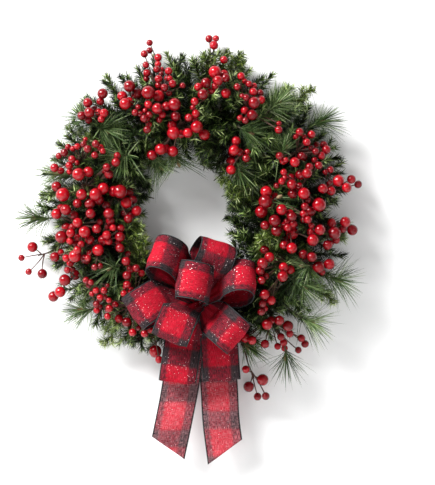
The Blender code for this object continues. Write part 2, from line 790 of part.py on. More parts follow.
def smooth_line(points, steps):
    """A smooth line through the points."""
    full = [points[0] * 2 - points[1], *points, points[-1] * 2 - points[-2]]
    line = []
    for i in range(steps + 1):
        place = i / steps * (len(points) - 1)
        k = min(int(place), len(points) - 2)
        t = place - k
        a, b, c, d = full[k : k + 4]
        bend = (2 * a - 5 * b + 4 * c - d) * t * t + (3 * b - a - 3 * c + d) * t**3
        line.append(0.5 * (2 * b + (c - a) * t + bend))
    return line


def claim_ribbon(node, line, width_way, space, spread=0.0055):
    for (low, share), (high, _) in zip(line, line[1:]):
        for u in (-1, -0.67, -0.33, 0, 0.33, 0.67, 1):
            shift = width_way * (u * share * RIBBON_WIDTH / 2)
            space.add(node, low + shift, high + shift, spread, spread)


def bow_ribbon(space, collection, finish):
    """The bow: one ribbon, looped and gathered at its middle, with two tails cut aslant."""
    name = "bow_ribbon"
    knot = from_pixels(*KNOT_PIXEL, KNOT_DEPTH)
    strips = new_collection("strips")
    for pixel, depth, roll, lean, turn, half_long, half_high in BOW_LOOPS.values():
        way = width_of(roll, lean)
        line = loop_line(from_pixels(*pixel, depth), way, turn, half_long, half_high, knot)
        ribbon_strip(line, way, strips)
        claim_ribbon(name, line, way, space)
    for points, cut in BOW_TAILS.values():
        way = ACROSS
        middle = [knot] + [from_pixels(*p) for p in points]
        spots = smooth_line(middle, 14)
        shares = [min(RIBBON_PINCH / RIBBON_WIDTH + i / 4, 1) for i in range(15)]
        line = list(zip(spots, shares))
        ribbon_strip(line, way, strips, cut)
        claim_ribbon(name, line, way, space)
    bm = bmesh.new()
    bmesh.ops.create_icosphere(bm, subdivisions=2, radius=KNOT_RADIUS)
    bmesh.ops.translate(bm, vec=knot, verts=bm.verts[:])
    space.add(name, knot, knot + UP * 1e-5, KNOT_RADIUS, KNOT_RADIUS)
    gather = object_from(bm, "gather", collection)
    made = boolean(gather, "UNION", strips, name, collection)
    keep_largest(made)
    made.data.materials.clear()
    made.data.materials.append(finish)
    return made


def bow_tie_wire(space, collection, finish):
    """The wire that ties the bow on: one bend behind its middle, and a leg on each side of the ring."""
    knot = from_pixels(*KNOT_PIXEL, KNOT_DEPTH)
    side = outward(TIE_ANGLE)
    seat = CENTRE + side * RING_RADIUS
    apart = RING_WIRE + CLEAR + TIE_WIRE + 0.0008
    back = TIE_WIRE + CLEAR
    top = knot - FRONT * (KNOT_RADIUS + TIE_WIRE + CLEAR)
    leg = [seat - side * apart + FRONT * back, seat - side * apart + FRONT * 0.02, top - side * 0.003]
    other = [top + side * 0.003, seat + side * apart + FRONT * 0.02, seat + side * apart + FRONT * back]
    curve = bpy.data.curves.new("tie", "CURVE")
    curve.dimensions = "3D"
    curve.bevel_depth = TIE_WIRE
    curve.bevel_resolution = 1
    curve.use_fill_caps = True
    spline = curve.splines.new("POLY")
    route = leg + other
    spline.points.add(len(route) - 1)
    for point, place in zip(spline.points, route):
        point.co = (*place, 1)
    wire = bpy.data.objects.new("tie", curve)
    collection.objects.link(wire)
    made = evaluated_copy(wire, "bow_tie_wire", collection)
    bm = bmesh.new()
    bm.from_mesh(made.data)
    bmesh.ops.remove_doubles(bm, verts=bm.verts[:], dist=1e-6)
    bm.to_mesh(made.data)
    bm.free()
    made.data.materials.append(finish)
    for low, high in zip(route, route[1:]):
        space.add("bow_tie_wire", low, high, TIE_WIRE, TIE_WIRE)
    return made


def build():
    clear_scene()
    wreath = new_collection(WREATH)
    steel = material("galvanised_wire", (0.42, 0.43, 0.44), 0.4, 0.9)
    pine = material("pine_green", (0.03, 0.12, 0.05), 0.6)
    grey_pine = material("long_pine_green", (0.10, 0.19, 0.10), 0.6)
    fir = material("fir_green", (0.20, 0.33, 0.08), 0.55)
    berry = material("berry_red", (0.60, 0.01, 0.03), 0.2)
    cloth = material("ribbon_cloth", (0.50, 0.02, 0.05), 0.8)
    space, sockets, plans = Space(), [], []
    wire_ring(wreath, steel)
    bow_ribbon(space, wreath, cloth)
    bow_tie_wire(space, wreath, steel)
    for name, (fork, berries) in BERRY_SPRAYS.items():
        berry_spray(name, fork, berries, space, wreath, berry, sockets)
    plans += plan_pines(space, wreath, grey_pine, sockets)
    plans += plan_firs(space, wreath, fir, sockets)
    twigs = [[] for _ in range(SECTORS)]
    for i, (pixel, depth, heading) in enumerate(BOUND_PINE_TIPS):
        owner = f"bound_pine_{i}"
        found = bound_pine(owner, pixel, depth, heading, space)
        if found:
            claim_path(owner, found[1], CORE + 0.0006, space)
            twigs[found[0]].append((owner, found[1], (LONG_NEEDLE, 0.0075, 0.030, (0.45, 0.85))))
    for k in range(SECTORS):
        for i, (angle, lean, reach, sweep) in enumerate(sector_twigs(k)):
            owner = f"twig_{k}_{i}"
            path = free_twig(owner, angle, lean, reach, sweep, space)
            if path:
                claim_path(owner, path, CORE + 0.0006, space)
                twigs[k].append((owner, path, (SHORT_NEEDLE, 0.0195, 0.09, (0.72, 1.12))))
    for plan in plans:
        finish_pick(plan, space)
    for k in range(SECTORS):
        own = [socket for sector, socket in sockets if sector == k]
        foliage_sector(k, twigs[k], space, wreath, pine, own)


build()
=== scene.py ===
"""The looks of the Christmas door wreath: foliage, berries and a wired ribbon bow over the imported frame."""

import math

import bpy
import numpy as np
from mathutils import Matrix, Vector


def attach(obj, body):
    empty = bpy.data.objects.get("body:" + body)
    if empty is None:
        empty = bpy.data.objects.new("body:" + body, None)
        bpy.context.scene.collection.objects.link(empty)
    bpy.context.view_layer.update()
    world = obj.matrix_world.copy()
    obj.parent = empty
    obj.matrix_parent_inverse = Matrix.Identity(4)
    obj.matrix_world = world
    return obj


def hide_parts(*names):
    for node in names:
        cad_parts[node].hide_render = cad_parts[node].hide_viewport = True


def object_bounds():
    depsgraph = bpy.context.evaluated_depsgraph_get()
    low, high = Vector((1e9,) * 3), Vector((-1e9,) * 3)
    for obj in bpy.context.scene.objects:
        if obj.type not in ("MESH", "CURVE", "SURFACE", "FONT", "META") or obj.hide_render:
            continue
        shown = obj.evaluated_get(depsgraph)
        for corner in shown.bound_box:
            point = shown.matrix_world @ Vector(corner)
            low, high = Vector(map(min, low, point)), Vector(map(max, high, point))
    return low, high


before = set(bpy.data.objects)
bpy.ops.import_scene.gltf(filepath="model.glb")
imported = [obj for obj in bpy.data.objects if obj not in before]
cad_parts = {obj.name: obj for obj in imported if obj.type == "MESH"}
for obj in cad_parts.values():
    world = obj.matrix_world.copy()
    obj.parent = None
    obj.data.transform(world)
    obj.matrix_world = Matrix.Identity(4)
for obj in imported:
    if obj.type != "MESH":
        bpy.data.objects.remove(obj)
cad_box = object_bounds()

# One pixel of the photograph, in metres, and the places that everything is measured from
PHOTO_WIDTH, PHOTO_HEIGHT = 435, 485
PIXEL = 0.00172
RING_PIXEL = (195, 207)
HOLE_PIXEL = (188, 202)
KNOT_PIXEL = (202, 303)
RING_RADIUS = 0.170
CENTRE = Vector((0, 0, -RING_RADIUS))
FRONT = Vector((0, -1, 0))
UP = Vector((0, 0, 1))
ACROSS = Vector((1, 0, 0))
SECTORS = 12
TIE_ANGLE = math.radians(-86)

# How near the hole's middle each kind of needle may come
PINE_HOLE = 0.064
FIR_HOLE = 0.056
LONG_PINE_HOLE = 0.050
NEEDLE_THICK = 0.0006
PINE_NEEDLES_A_METRE = 1750
LONG_NEEDLES = 110
BUD_LENGTH = 0.006
HUB_RADIUS = 0.024  # kept clear in front of a long-needled tip
INWARD_LEAN = 130  # tips that lean further reach up to the hole
STRANDS = 6  # bound stems, coiled round the ring
STRAND_COIL = 0.0052
GOLDEN_TURN = 2.39996  # radians from one needle to the next

RIBBON_WIDTH = 0.0635
RIBBON_THICK = 0.0006
EDGE_WIRE = 0.00075
RIBBON_PINCH = 0.016
RIBBON_COLUMNS = 16
LOOP_ROWS = 64
TAIL_ROWS = 72
PINCHED_ROWS = 19  # of a tail, below the knot
KNOT_DEPTH = 0.066
KNOT_RADIUS = 0.013
RED_BAND = 0.049  # along the ribbon
DARK_BAND = 0.031
LEFT_STRIPE = 0.0105  # the black edges, across the ribbon
RIGHT_STRIPE = 0.0155

rng = np.random.default_rng(24)

# Every berry that shows, by its spray: where the twigs part, then place and width, all in pixels
BERRY_SPRAYS = {
    "top_left_sprig": ((160, 88), [(149, 41, 7), (144, 53, 8), (158, 64, 7), (147, 73, 8), (149, 49, 7),
        (158, 57, 8), (146, 65, 7), (157, 70, 7), (169, 72, 8), (159, 80, 8), (173, 85, 8), (165, 89, 8),
        (183, 87, 6)]),
    "upper_left_rim": ((104, 108), [(103, 94, 11), (90, 113, 11), (88, 103, 10), (82, 116, 9),
        (105, 114, 9)]),
    "upper_left": ((142, 108), [(149, 94, 14), (130, 87, 12), (175, 106, 13), (137, 94, 12), (126, 105, 12),
        (136, 114, 7), (149, 106, 8), (158, 110, 11), (145, 120, 8), (150, 116, 7), (163, 116, 7),
        (148, 131, 8)]),
    "upper_inner": ((182, 128), [(174, 134, 13), (197, 128, 13), (188, 134, 10), (161, 150, 12),
        (173, 152, 11), (189, 119, 8), (196, 115, 8)]),
    "top_sprig": ((212, 58), [(209, 37, 8), (216, 38, 7), (214, 45, 9), (224, 60, 8)]),
    "top_right": ((216, 90), [(215, 73, 13), (206, 84, 11), (203, 96, 11), (226, 94, 10), (218, 82, 10),
        (215, 87, 7), (195, 103, 8)]),
    "upper_right": ((250, 108), [(254, 104, 12), (252, 116, 11), (246, 99, 7), (241, 77, 8), (249, 85, 7),
        (237, 88, 7), (253, 93, 8), (245, 122, 7), (278, 131, 8)]),
    "inner_right": ((238, 158), [(234, 151, 11), (231, 161, 10), (231, 170, 10), (240, 153, 8),
        (246, 159, 8)]),
    "right_shoulder": ((300, 150), [(299, 133, 8), (326, 150, 9), (303, 157, 10), (311, 135, 8),
        (306, 143, 8), (324, 145, 8), (315, 152, 7), (321, 156, 8), (294, 163, 10), (279, 157, 8),
        (285, 161, 6)]),
    "right_rim": ((336, 190), [(338, 181, 12), (352, 179, 9), (346, 188, 10), (359, 184, 8), (330, 170, 7),
        (322, 189, 10)]),
    "right_high": ((302, 188), [(303, 194, 12), (318, 205, 14), (300, 175, 11), (306, 174, 10),
        (291, 185, 10), (283, 173, 7), (281, 182, 7), (318, 166, 8), (304, 207, 8)]),
    "right_inner": ((274, 204), [(265, 202, 14), (281, 210, 11), (291, 217, 10), (266, 192, 12),
        (303, 214, 8), (307, 220, 8)]),
    "right_outer": ((334, 226), [(345, 222, 11), (334, 233, 13), (353, 230, 11), (319, 230, 11),
        (343, 229, 8), (336, 240, 8), (327, 245, 10)]),
    "right_middle": ((288, 230), [(274, 221, 12), (276, 231, 11), (292, 233, 13), (312, 240, 12),
        (287, 228, 8), (291, 248, 11)]),
    "right_low": ((296, 264), [(262, 263, 11), (282, 276, 11), (318, 267, 12), (329, 264, 11),
        (269, 257, 10), (283, 267, 10), (311, 257, 10), (322, 272, 7), (261, 280, 8), (264, 294, 10),
        (262, 303, 8), (261, 311, 8)]),
    "lower_right": ((276, 330), [(279, 320, 10), (267, 324, 11), (245, 338, 10), (288, 326, 11),
        (290, 334, 8), (281, 337, 8), (284, 343, 8), (278, 347, 7), (285, 349, 7), (265, 344, 9),
        (252, 340, 9), (302, 339, 8), (306, 345, 8), (299, 351, 7)]),
    "bottom_sprig": ((254, 380), [(246, 370, 8), (263, 381, 12), (249, 388, 11), (266, 397, 8),
        (258, 398, 8)]),
    "left_high": ((82, 186), [(80, 175, 13), (64, 195, 14), (97, 195, 13), (83, 195, 11), (91, 204, 11),
        (104, 189, 12), (117, 163, 9), (108, 168, 8), (110, 175, 9)]),
    "left_shoulder": ((78, 158), [(97, 145, 8), (78, 147, 7), (59, 156, 7), (55, 168, 9), (85, 145, 7),
        (89, 150, 8), (65, 153, 8), (73, 160, 8), (70, 166, 8), (96, 156, 7), (104, 152, 6)]),
    "left_inner": ((120, 196), [(121, 192, 14), (133, 200, 9), (137, 211, 11), (129, 219, 9),
        (110, 214, 11)]),
    "left_rim": ((74, 226), [(86, 232, 12), (62, 237, 13), (92, 214, 10), (57, 214, 11), (67, 210, 11),
        (79, 223, 10), (72, 233, 9), (71, 241, 8), (98, 229, 9), (79, 250, 8)]),
    "left_middle": ((102, 240), [(121, 237, 10), (99, 250, 12), (76, 256, 13), (111, 221, 9), (114, 228, 7),
        (108, 235, 9), (121, 248, 9), (89, 258, 7), (96, 267, 7), (67, 258, 8), (55, 257, 10)]),
    "left_low": ((66, 282), [(65, 280, 12), (60, 292, 11), (52, 297, 11), (74, 275, 11), (68, 270, 7),
        (87, 280, 7), (92, 282, 6), (97, 290, 7), (105, 290, 7), (101, 297, 7), (97, 304, 7)]),
    "left_sprig": ((36, 256), [(31, 247, 11), (20, 258, 7), (27, 272, 7), (41, 274, 10)]),
    "lower_left": ((130, 308), [(128, 275, 9), (127, 322, 10), (155, 352, 13), (127, 261, 9), (137, 268, 8),
        (128, 284, 8), (125, 293, 7), (97, 310, 7), (110, 300, 6), (110, 308, 8), (108, 316, 7),
        (133, 332, 8), (145, 333, 8), (159, 360, 8)]),
}

# Long-needled pine picks: the bud's place in pixels, its depth, and the way it points there in degrees
PINE_TIPS = [
    ((277, 104), 0.075, 40), ((160, 166), 0.050, -50), ((112, 268), 0.085, 200), ((36, 218), 0.045, 178),
    ((302, 286), 0.080, -35), ((310, 322), 0.055, -20), ((286, 356), 0.045, -95), ((84, 118), 0.050, 140),
    ((82, 310), 0.050, 170),
]

# Long-needled tips that grow from the bound stems themselves, each with the number of its stretch of them
BOUND_PINE_TIPS = [
    ((249, 133), 0.085, -20, 6), ((121, 156), 0.085, 180, 8), ((106, 131), 0.070, -30, 8),
    ((240, 172), 0.054, -50, 5), ((320, 122), 0.050, 25, 5), ((284, 150), 0.085, 50, 4),
    ((277, 198), 0.085, 25, 4), ((338, 280), 0.055, -12, 2), ((304, 266), 0.086, 170, 3),
    ((58, 174), 0.045, 168, 9), ((178, 162), 0.060, -70, 7),
]

# One more at the bow's lower right, which the CAD leaves out
MORE_PINE_TIPS = [((246, 346), 0.050, -42)]

# Yellow-green fir sprigs: the tip's place in pixels and its depth
FIR_TIPS = [
    ((240, 52), 0.060), ((312, 86), 0.040), ((220, 184), 0.080), ((146, 236), 0.095), ((258, 238), 0.096),
    ((336, 302), 0.050), ((66, 128), 0.040), ((104, 346), 0.040),
]
MORE_FIR_TIPS = [
    ((264, 232), 0.095), ((146, 250), 0.090), ((88, 138), 0.085), ((226, 50), 0.055), ((210, 50), 0.055),
    ((142, 224), 0.085), ((228, 196), 0.085), ((256, 246), 0.080), ((266, 246), 0.086),
]

# Bow loops: middle in pixels, depth, the way the width runs (degrees clockwise from up, then degrees that its
# top leans to the door), the way the round end turns about that width (degrees from straight ahead), half
# length, half height, and where a red band's middle lies along the ribbon from the round end
BOW_LOOPS = {
    "upper_left": ((167, 260), 0.105, 18, 25, -35, 0.036, 0.028, -0.011),
    "upper_middle": ((211, 258), 0.098, 110, 15, -48, 0.036, 0.028, -0.006),
    "middle": ((195, 282), 0.118, 12, 8, -4, 0.034, 0.031, 0.002),
    "right": ((238, 283), 0.100, 4, 32, 38, 0.036, 0.027, -0.004),
    "left": ((150, 304), 0.092, -35, 8, -52, 0.042, 0.026, 0.044),
    "lower_left": ((176, 323), 0.106, 112, 0, 36, 0.036, 0.027, -0.028),
    "lower_right": ((226, 327), 0.100, 41, 0, 34, 0.038, 0.027, 0.006),
    "hanging_left": ((181, 357), 0.064, 98, 0, 78, 0.046, 0.013, -0.007),
    "hanging_right": ((220, 354), 0.062, 86, 0, 80, 0.048, 0.013, 0.026),
}

# Bow tails: the middle line in pixels with depths, how far the right edge runs past the left at the cut, and
# where a red band's middle lies from the knot
BOW_TAILS = {
    "left": (
        [(198, 318, 0.052), (186, 352, 0.046), (180, 389, 0.042), (174, 420, 0.046), (168, 449, 0.042)],
        0.040, 0.206),
    "right": (
        [(208, 318, 0.054), (216, 352, 0.044), (219, 385, 0.040), (221, 420, 0.044), (225, 453, 0.040)],
        -0.044, 0.170),
}


# Places

def from_pixels(x, y, depth):
    """The point in front of the door that shows at this pixel."""
    aside, above = (x - RING_PIXEL[0]) * PIXEL, (RING_PIXEL[1] - y) * PIXEL
    return CENTRE + ACROSS * aside + UP * above + FRONT * depth


def outward(angle):
    return ACROSS * math.cos(angle) + UP * math.sin(angle)


def along(angle):
    return UP * math.cos(angle) - ACROSS * math.sin(angle)


def ring_angle(point):
    return math.atan2(point.z - CENTRE.z, point.x)


def from_ring(point):
    return abs(math.hypot(point.x, point.z - CENTRE.z) - RING_RADIUS)


def front_depth(point):
    """How far in front of the door the foliage reaches here."""
    return 0.108 - 0.055 * min(from_ring(point) / 0.095, 1.3) ** 2


def arrays(path):
    return [np.array(point) for point in path]


def curve_at(path, t):
    root, pull, end = arrays(path)
    t = np.asarray(t)[:, None]
    return (1 - t) ** 2 * root + 2 * t * (1 - t) * pull + t * t * end


def unit(vectors):
    return vectors / np.maximum(np.linalg.norm(vectors, axis=-1, keepdims=True), 1e-9)


def heading_at(path, t):
    root, pull, end = arrays(path)
    t = np.asarray(t)[:, None]
    return unit((1 - t) * (pull - root) + t * (end - pull) + 1e-9)


def sideways(ways):
    """Two directions at right angles to each way."""
    guide = np.where(np.abs(ways[:, 2:3]) < 0.9, [[0.0, 0.0, 1.0]], [[1.0, 0.0, 0.0]])
    side = unit(np.cross(ways, guide))
    return side, np.cross(ways, side)


def around(first, second, turn, flatness=1):
    """The way from the first direction by each turn to the second."""
    return first * np.cos(turn)[:, None] + second * (np.sin(turn) * flatness)[:, None]


# Meshes from arrays

def new_object(name, data):
    made = bpy.data.objects.new(name, data)
    bpy.context.scene.collection.objects.link(made)
    return made


class Shape:
    """Triangles gathered from many small forms, each with a finish and a tint."""

    def __init__(self):
        self.points, self.faces, self.finishes, self.tints, self.smooth = [], [], [], [], []
        self.count = 0

    def add(self, points, faces, finish=0, tint=0.5, smooth=False):
        self.points.append(np.asarray(points, dtype=np.float64).reshape(-1, 3))
        self.faces.append(np.asarray(faces, dtype=np.int64).reshape(-1, 3) + self.count)
        self.count += len(self.points[-1])
        self.finishes.append(np.full(len(self.faces[-1]), finish))
        self.smooth.append(np.full(len(self.faces[-1]), smooth))
        self.tints.append(np.broadcast_to(np.asarray(tint, dtype=np.float64), (len(self.points[-1]),)))

    def object(self, name, materials):
        points, faces = np.concatenate(self.points), np.concatenate(self.faces)
        mesh = bpy.data.meshes.new(name)
        mesh.vertices.add(len(points))
        mesh.vertices.foreach_set("co", points.astype(np.float32).ravel())
        mesh.loops.add(faces.size)
        mesh.loops.foreach_set("vertex_index", faces.astype(np.int32).ravel())
        mesh.polygons.add(len(faces))
        mesh.polygons.foreach_set("loop_start", np.arange(0, faces.size, 3, dtype=np.int32))
        mesh.polygons.foreach_set("material_index", np.concatenate(self.finishes).astype(np.int32))
        mesh.polygons.foreach_set("use_smooth", np.concatenate(self.smooth))
        tint = mesh.attributes.new("tint", "FLOAT", "POINT")
        tint.data.foreach_set("value", np.concatenate(self.tints).astype(np.float32))
        mesh.update(calc_edges=True)
        mesh.validate()
        for finish in materials:
            mesh.materials.append(finish)
        return new_object(name, mesh)


def add_tube(shape, points, radii, sides, finish=0, tint=0.5):
    """A round stem along points, closed at both ends."""
    points = np.asarray(points, dtype=np.float64)
    radii = np.broadcast_to(np.asarray(radii, dtype=np.float64), (len(points),))
    ways = unit(np.gradient(points, axis=0))
    side, over = sideways(ways)
    for i in range(1, len(points)):  # carry the first side along, so the tube doesn't twist
        side[i] = unit(side[i - 1] - ways[i] * side[i - 1].dot(ways[i]))
        over[i] = np.cross(ways[i], side[i])
    turn = np.arange(sides) * 2 * math.pi / sides
    rings = points[:, None] + radii[:, None, None] * (
        side[:, None] * np.cos(turn)[None, :, None] + over[:, None] * np.sin(turn)[None, :, None])
    faces = []
    for i in range(len(points) - 1):
        for j in range(sides):
            a, b = i * sides + j, i * sides + (j + 1) % sides
            faces += [(a, b, b + sides), (a, b + sides, a + sides)]
    last = (len(points) - 1) * sides
    for j in range(1, sides - 1):
        faces += [(0, j + 1, j), (last, last + j, last + j + 1)]
    shape.add(rings.reshape(-1, 3), faces, finish, tint, True)


def add_spikes(shape, base, way, side, length, width, thick, tint, bend=None, segments=1, finish=0):
    """Pointed needles, wider than thick, open where they grow from the stem."""
    n = len(base)
    if not n:
        return
    over = np.cross(way, side)
    length = length[:, None]
    rings = []
    for k in range(segments):
        t = k / segments
        middle = base + way * length * t + (0 if bend is None else bend * t * t)
        half = (width * 0.5 * (1 - 0.75 * t * t))[:, None]
        deep = (thick * (1 - 0.6 * t))[:, None]
        rings.append(np.stack([middle - side * half, middle + side * half, middle + over * deep], axis=1))
    tip = base + way * length + (0 if bend is None else bend)
    points = np.concatenate([np.concatenate(rings, axis=1), tip[:, None]], axis=1)
    per = 3 * segments + 1
    pattern = []
    for k in range(segments - 1):
        for j in range(3):
            a, b = 3 * k + j, 3 * k + (j + 1) % 3
            pattern += [(a, b, b + 3), (a, b + 3, a + 3)]
    last = 3 * (segments - 1)
    pattern += [(last + j, last + (j + 1) % 3, per - 1) for j in range(3)]
    faces = np.arange(n)[:, None, None] * per + np.array(pattern)[None]
    shape.add(points.reshape(-1, 3), faces.reshape(-1, 3), finish, np.repeat(tint, per))


# What needles keep clear of

berries = []  # centre and radius of each
ribbon_points = []
CELL = 0.003
DOOR_GAP = 0.0012
PART = 20000  # needles tested at a time


def berry_arrays():
    return np.array([b[0] for b in berries]), np.array([b[1] for b in berries])


class RibbonShadow:
    """For each small cell of the picture, how near the door the bow comes there."""

    def __init__(self, points):
        self.low = points[:, [0, 2]].min(axis=0) - 0.02
        size = np.ceil((points[:, [0, 2]].max(axis=0) + 0.02 - self.low) / CELL).astype(int) + 2
        self.back = np.full(size, -9.0)
        cells = ((points[:, [0, 2]] - self.low) / CELL).astype(int)
        for dx in (-1, 0, 1):
            for dz in (-1, 0, 1):
                np.maximum.at(self.back, (cells[:, 0] + dx, cells[:, 1] + dz), points[:, 1])

    def blocks(self, points):
        cells = ((points[:, [0, 2]] - self.low) / CELL).astype(int)
        inside = ((cells >= 0) & (cells < self.back.shape)).all(axis=1)
        cells = np.clip(cells, 0, np.array(self.back.shape) - 1)
        back = self.back[cells[:, 0], cells[:, 1]]
        return inside & (back > -1) & (points[:, 1] < back + 0.003)


def clear_needles(base, way, length, hole, bend=None):
    """Which needles miss the hole, the bow, the berries and the door."""
    middle = np.array(from_pixels(*HOLE_PIXEL, 0))
    centres, radii = berry_arrays()
    keep = np.ones(len(base), dtype=bool)
    low, high = np.array(cad_box[0]) - 0.012, np.array(cad_box[1]) + 0.012
    for t in (0.15, 0.45, 0.75, 1.0):
        spot = base + way * (length * t)[:, None] + (0 if bend is None else bend * t * t)
        keep &= np.hypot(spot[:, 0] - middle[0], spot[:, 2] - middle[2]) > hole
        keep &= spot[:, 1] < -DOOR_GAP
        keep &= (spot > low).all(axis=1) & (spot < high).all(axis=1)
        keep &= ~shadow.blocks(spot)
        for start in range(0, len(spot), PART):
            part = spot[start:start + PART]
            flat = np.hypot(part[:, None, 0] - centres[None, :, 0], part[:, None, 2] - centres[None, :, 2])
            over = (flat < radii * 1.08) & (part[:, None, 1] < centres[None, :, 1] + radii * 0.9)
            keep[start:start + PART] &= ~over.any(axis=1)
    return keep


# Materials

def nodes_of(name):
    made = bpy.data.materials.new(name)
    made.use_nodes = True
    tree = made.node_tree
    return made, tree, tree.nodes["Principled BSDF"]


def put(tree, socket, value):
    """Links the input to another node's output, or sets it."""
    if isinstance(value, bpy.types.NodeSocket):
        tree.links.new(value, socket)
    else:
        socket.default_value = value


def fill(tree, node, inputs):
    for key, value in inputs.items():
        put(tree, node.inputs[key], value)


def add_node(tree, kind, inputs=None, **settings):
    node = tree.nodes.new("ShaderNode" + kind)
    for key, value in settings.items():
        setattr(node, key, value)
    fill(tree, node, inputs or {})
    return node


def ramp(tree, factor, stops):
    node = add_node(tree, "ValToRGB", {"Fac": factor})
    elements = node.color_ramp.elements
    while len(elements) < len(stops):
        elements.new(0.5)
    for element, (place, colour) in zip(elements, stops):
        element.position = place
        element.color = (*colour, 1)
    return node.outputs["Color"]


def blend(tree, factor, low, high):
    node = add_node(tree, "Mix", data_type="RGBA")
    for socket, value in ((node.inputs[0], factor), (node.inputs[6], low), (node.inputs[7], high)):
        put(tree, socket, (*value, 1) if isinstance(value, tuple) else value)
    return node.outputs[2]


def maths(tree, operation, a, b=None, c=None):
    node = add_node(tree, "Math", operation=operation)
    for socket, value in zip(node.inputs, (a, b, c)):
        if value is not None:
            put(tree, socket, value)
    return node.outputs[0]


def noise(tree, scale, detail=2.0, where=None):
    inputs = {"Scale": scale, "Detail": detail}
    if where is not None:
        inputs["Vector"] = where
    return add_node(tree, "TexNoise", inputs).outputs["Fac"]


def bump(tree, shader, height, strength, distance):
    node = add_node(tree, "Bump", {"Height": height, "Strength": strength, "Distance": distance})
    tree.links.new(node.outputs["Normal"], shader.inputs["Normal"])


def place_of(tree):
    return add_node(tree, "TexCoord").outputs["Object"]


def leaf_material(name, stops, roughness):
    """Cut film or moulded needles: each one has its own green, in patches of lighter and darker growth; the
    ramp's near-black and palest greens are partly painted shade and painted highlights.
    """
    made, tree, shader = nodes_of(name)
    tint = add_node(tree, "Attribute", attribute_name="tint").outputs["Fac"]
    patches = noise(tree, 9.0, 2.0, place_of(tree))
    spread = maths(tree, "MULTIPLY_ADD", maths(tree, "SUBTRACT", patches, 0.5), 0.7, tint)
    colour = ramp(tree, spread, stops)
    streaks = noise(tree, 900.0, 1.0, place_of(tree))
    rough = maths(tree, "MULTIPLY_ADD", streaks, 0.25, roughness - 0.12)
    fill(tree, shader, {"Base Color": colour, "Roughness": rough, "Specular IOR Level": 0.22})
    bump(tree, shader, streaks, 0.25, 0.0003)
    return made


def bark_material(name, dark, light):
    """Brown floral tape over wire: short ridges across the stem."""
    made, tree, shader = nodes_of(name)
    where = place_of(tree)
    grain = noise(tree, 420.0, 3.0, where)
    patches = noise(tree, 60.0, 2.0, where)
    uneven = maths(tree, "MULTIPLY_ADD", grain, 0.6, maths(tree, "MULTIPLY", patches, 0.5))
    fill(tree, shader, {"Base Color": ramp(tree, uneven, [(0.3, dark), (0.8, light)]), "Roughness": 0.7})
    bump(tree, shader, grain, 0.6, 0.0005)
    return made


def berry_material():
    """Glossy lacquer over red foam with a clear coat: bright red where it faces out; the deep red towards the
    rim is painted shade and painted reflection of dark surroundings.
    """
    made, tree, shader = nodes_of("berry_lacquer")
    where = place_of(tree)
    tint = add_node(tree, "Attribute", attribute_name="tint").outputs["Fac"]
    clouds = noise(tree, 160.0, 3.0, where)
    body = ramp(tree, maths(tree, "MULTIPLY_ADD", clouds, 0.5, maths(tree, "MULTIPLY", tint, 0.6)),
                [(0.2, (0.09, 0.001, 0.003)), (0.55, (0.23, 0.001, 0.005)), (0.85, (0.38, 0.003, 0.009))])
    # painted shade: the base colour darkens to deep red towards the rim, where the surface turns away from
    # the view
    rim = add_node(tree, "LayerWeight", {"Blend": 0.35}).outputs["Facing"]
    pits = noise(tree, 700.0, 2.0, where)
    fill(tree, shader, {
        "Base Color": blend(tree, maths(tree, "POWER", rim, 1.6), body, (0.07, 0.0, 0.003)),
        "Roughness": maths(tree, "MULTIPLY_ADD", pits, 0.12, 0.14),
        "Coat Weight": 0.22, "Coat Roughness": 0.05, "Specular IOR Level": 0.28})
    bump(tree, shader, clouds, 0.08, 0.0006)
    return made


def wire_material():
    made, tree, shader = nodes_of("galvanised")
    where = place_of(tree)
    spangle = noise(tree, 240.0, 3.0, where)
    fill(tree, shader, {
        "Base Color": ramp(tree, spangle, [(0.3, (0.22, 0.23, 0.24)), (0.7, (0.50, 0.51, 0.52))]),
        "Roughness": maths(tree, "MULTIPLY_ADD", spangle, 0.3, 0.25), "Metallic": 0.9})
    bump(tree, shader, noise(tree, 1200.0, 2.0, where), 0.3, 0.0002)
    return made


def smooth_step(tree, value, low, high):
    node = add_node(tree, "MapRange", {"Value": value, "From Min": low, "From Max": high},
                    interpolation_type="SMOOTHSTEP")
    return node.outputs["Result"]


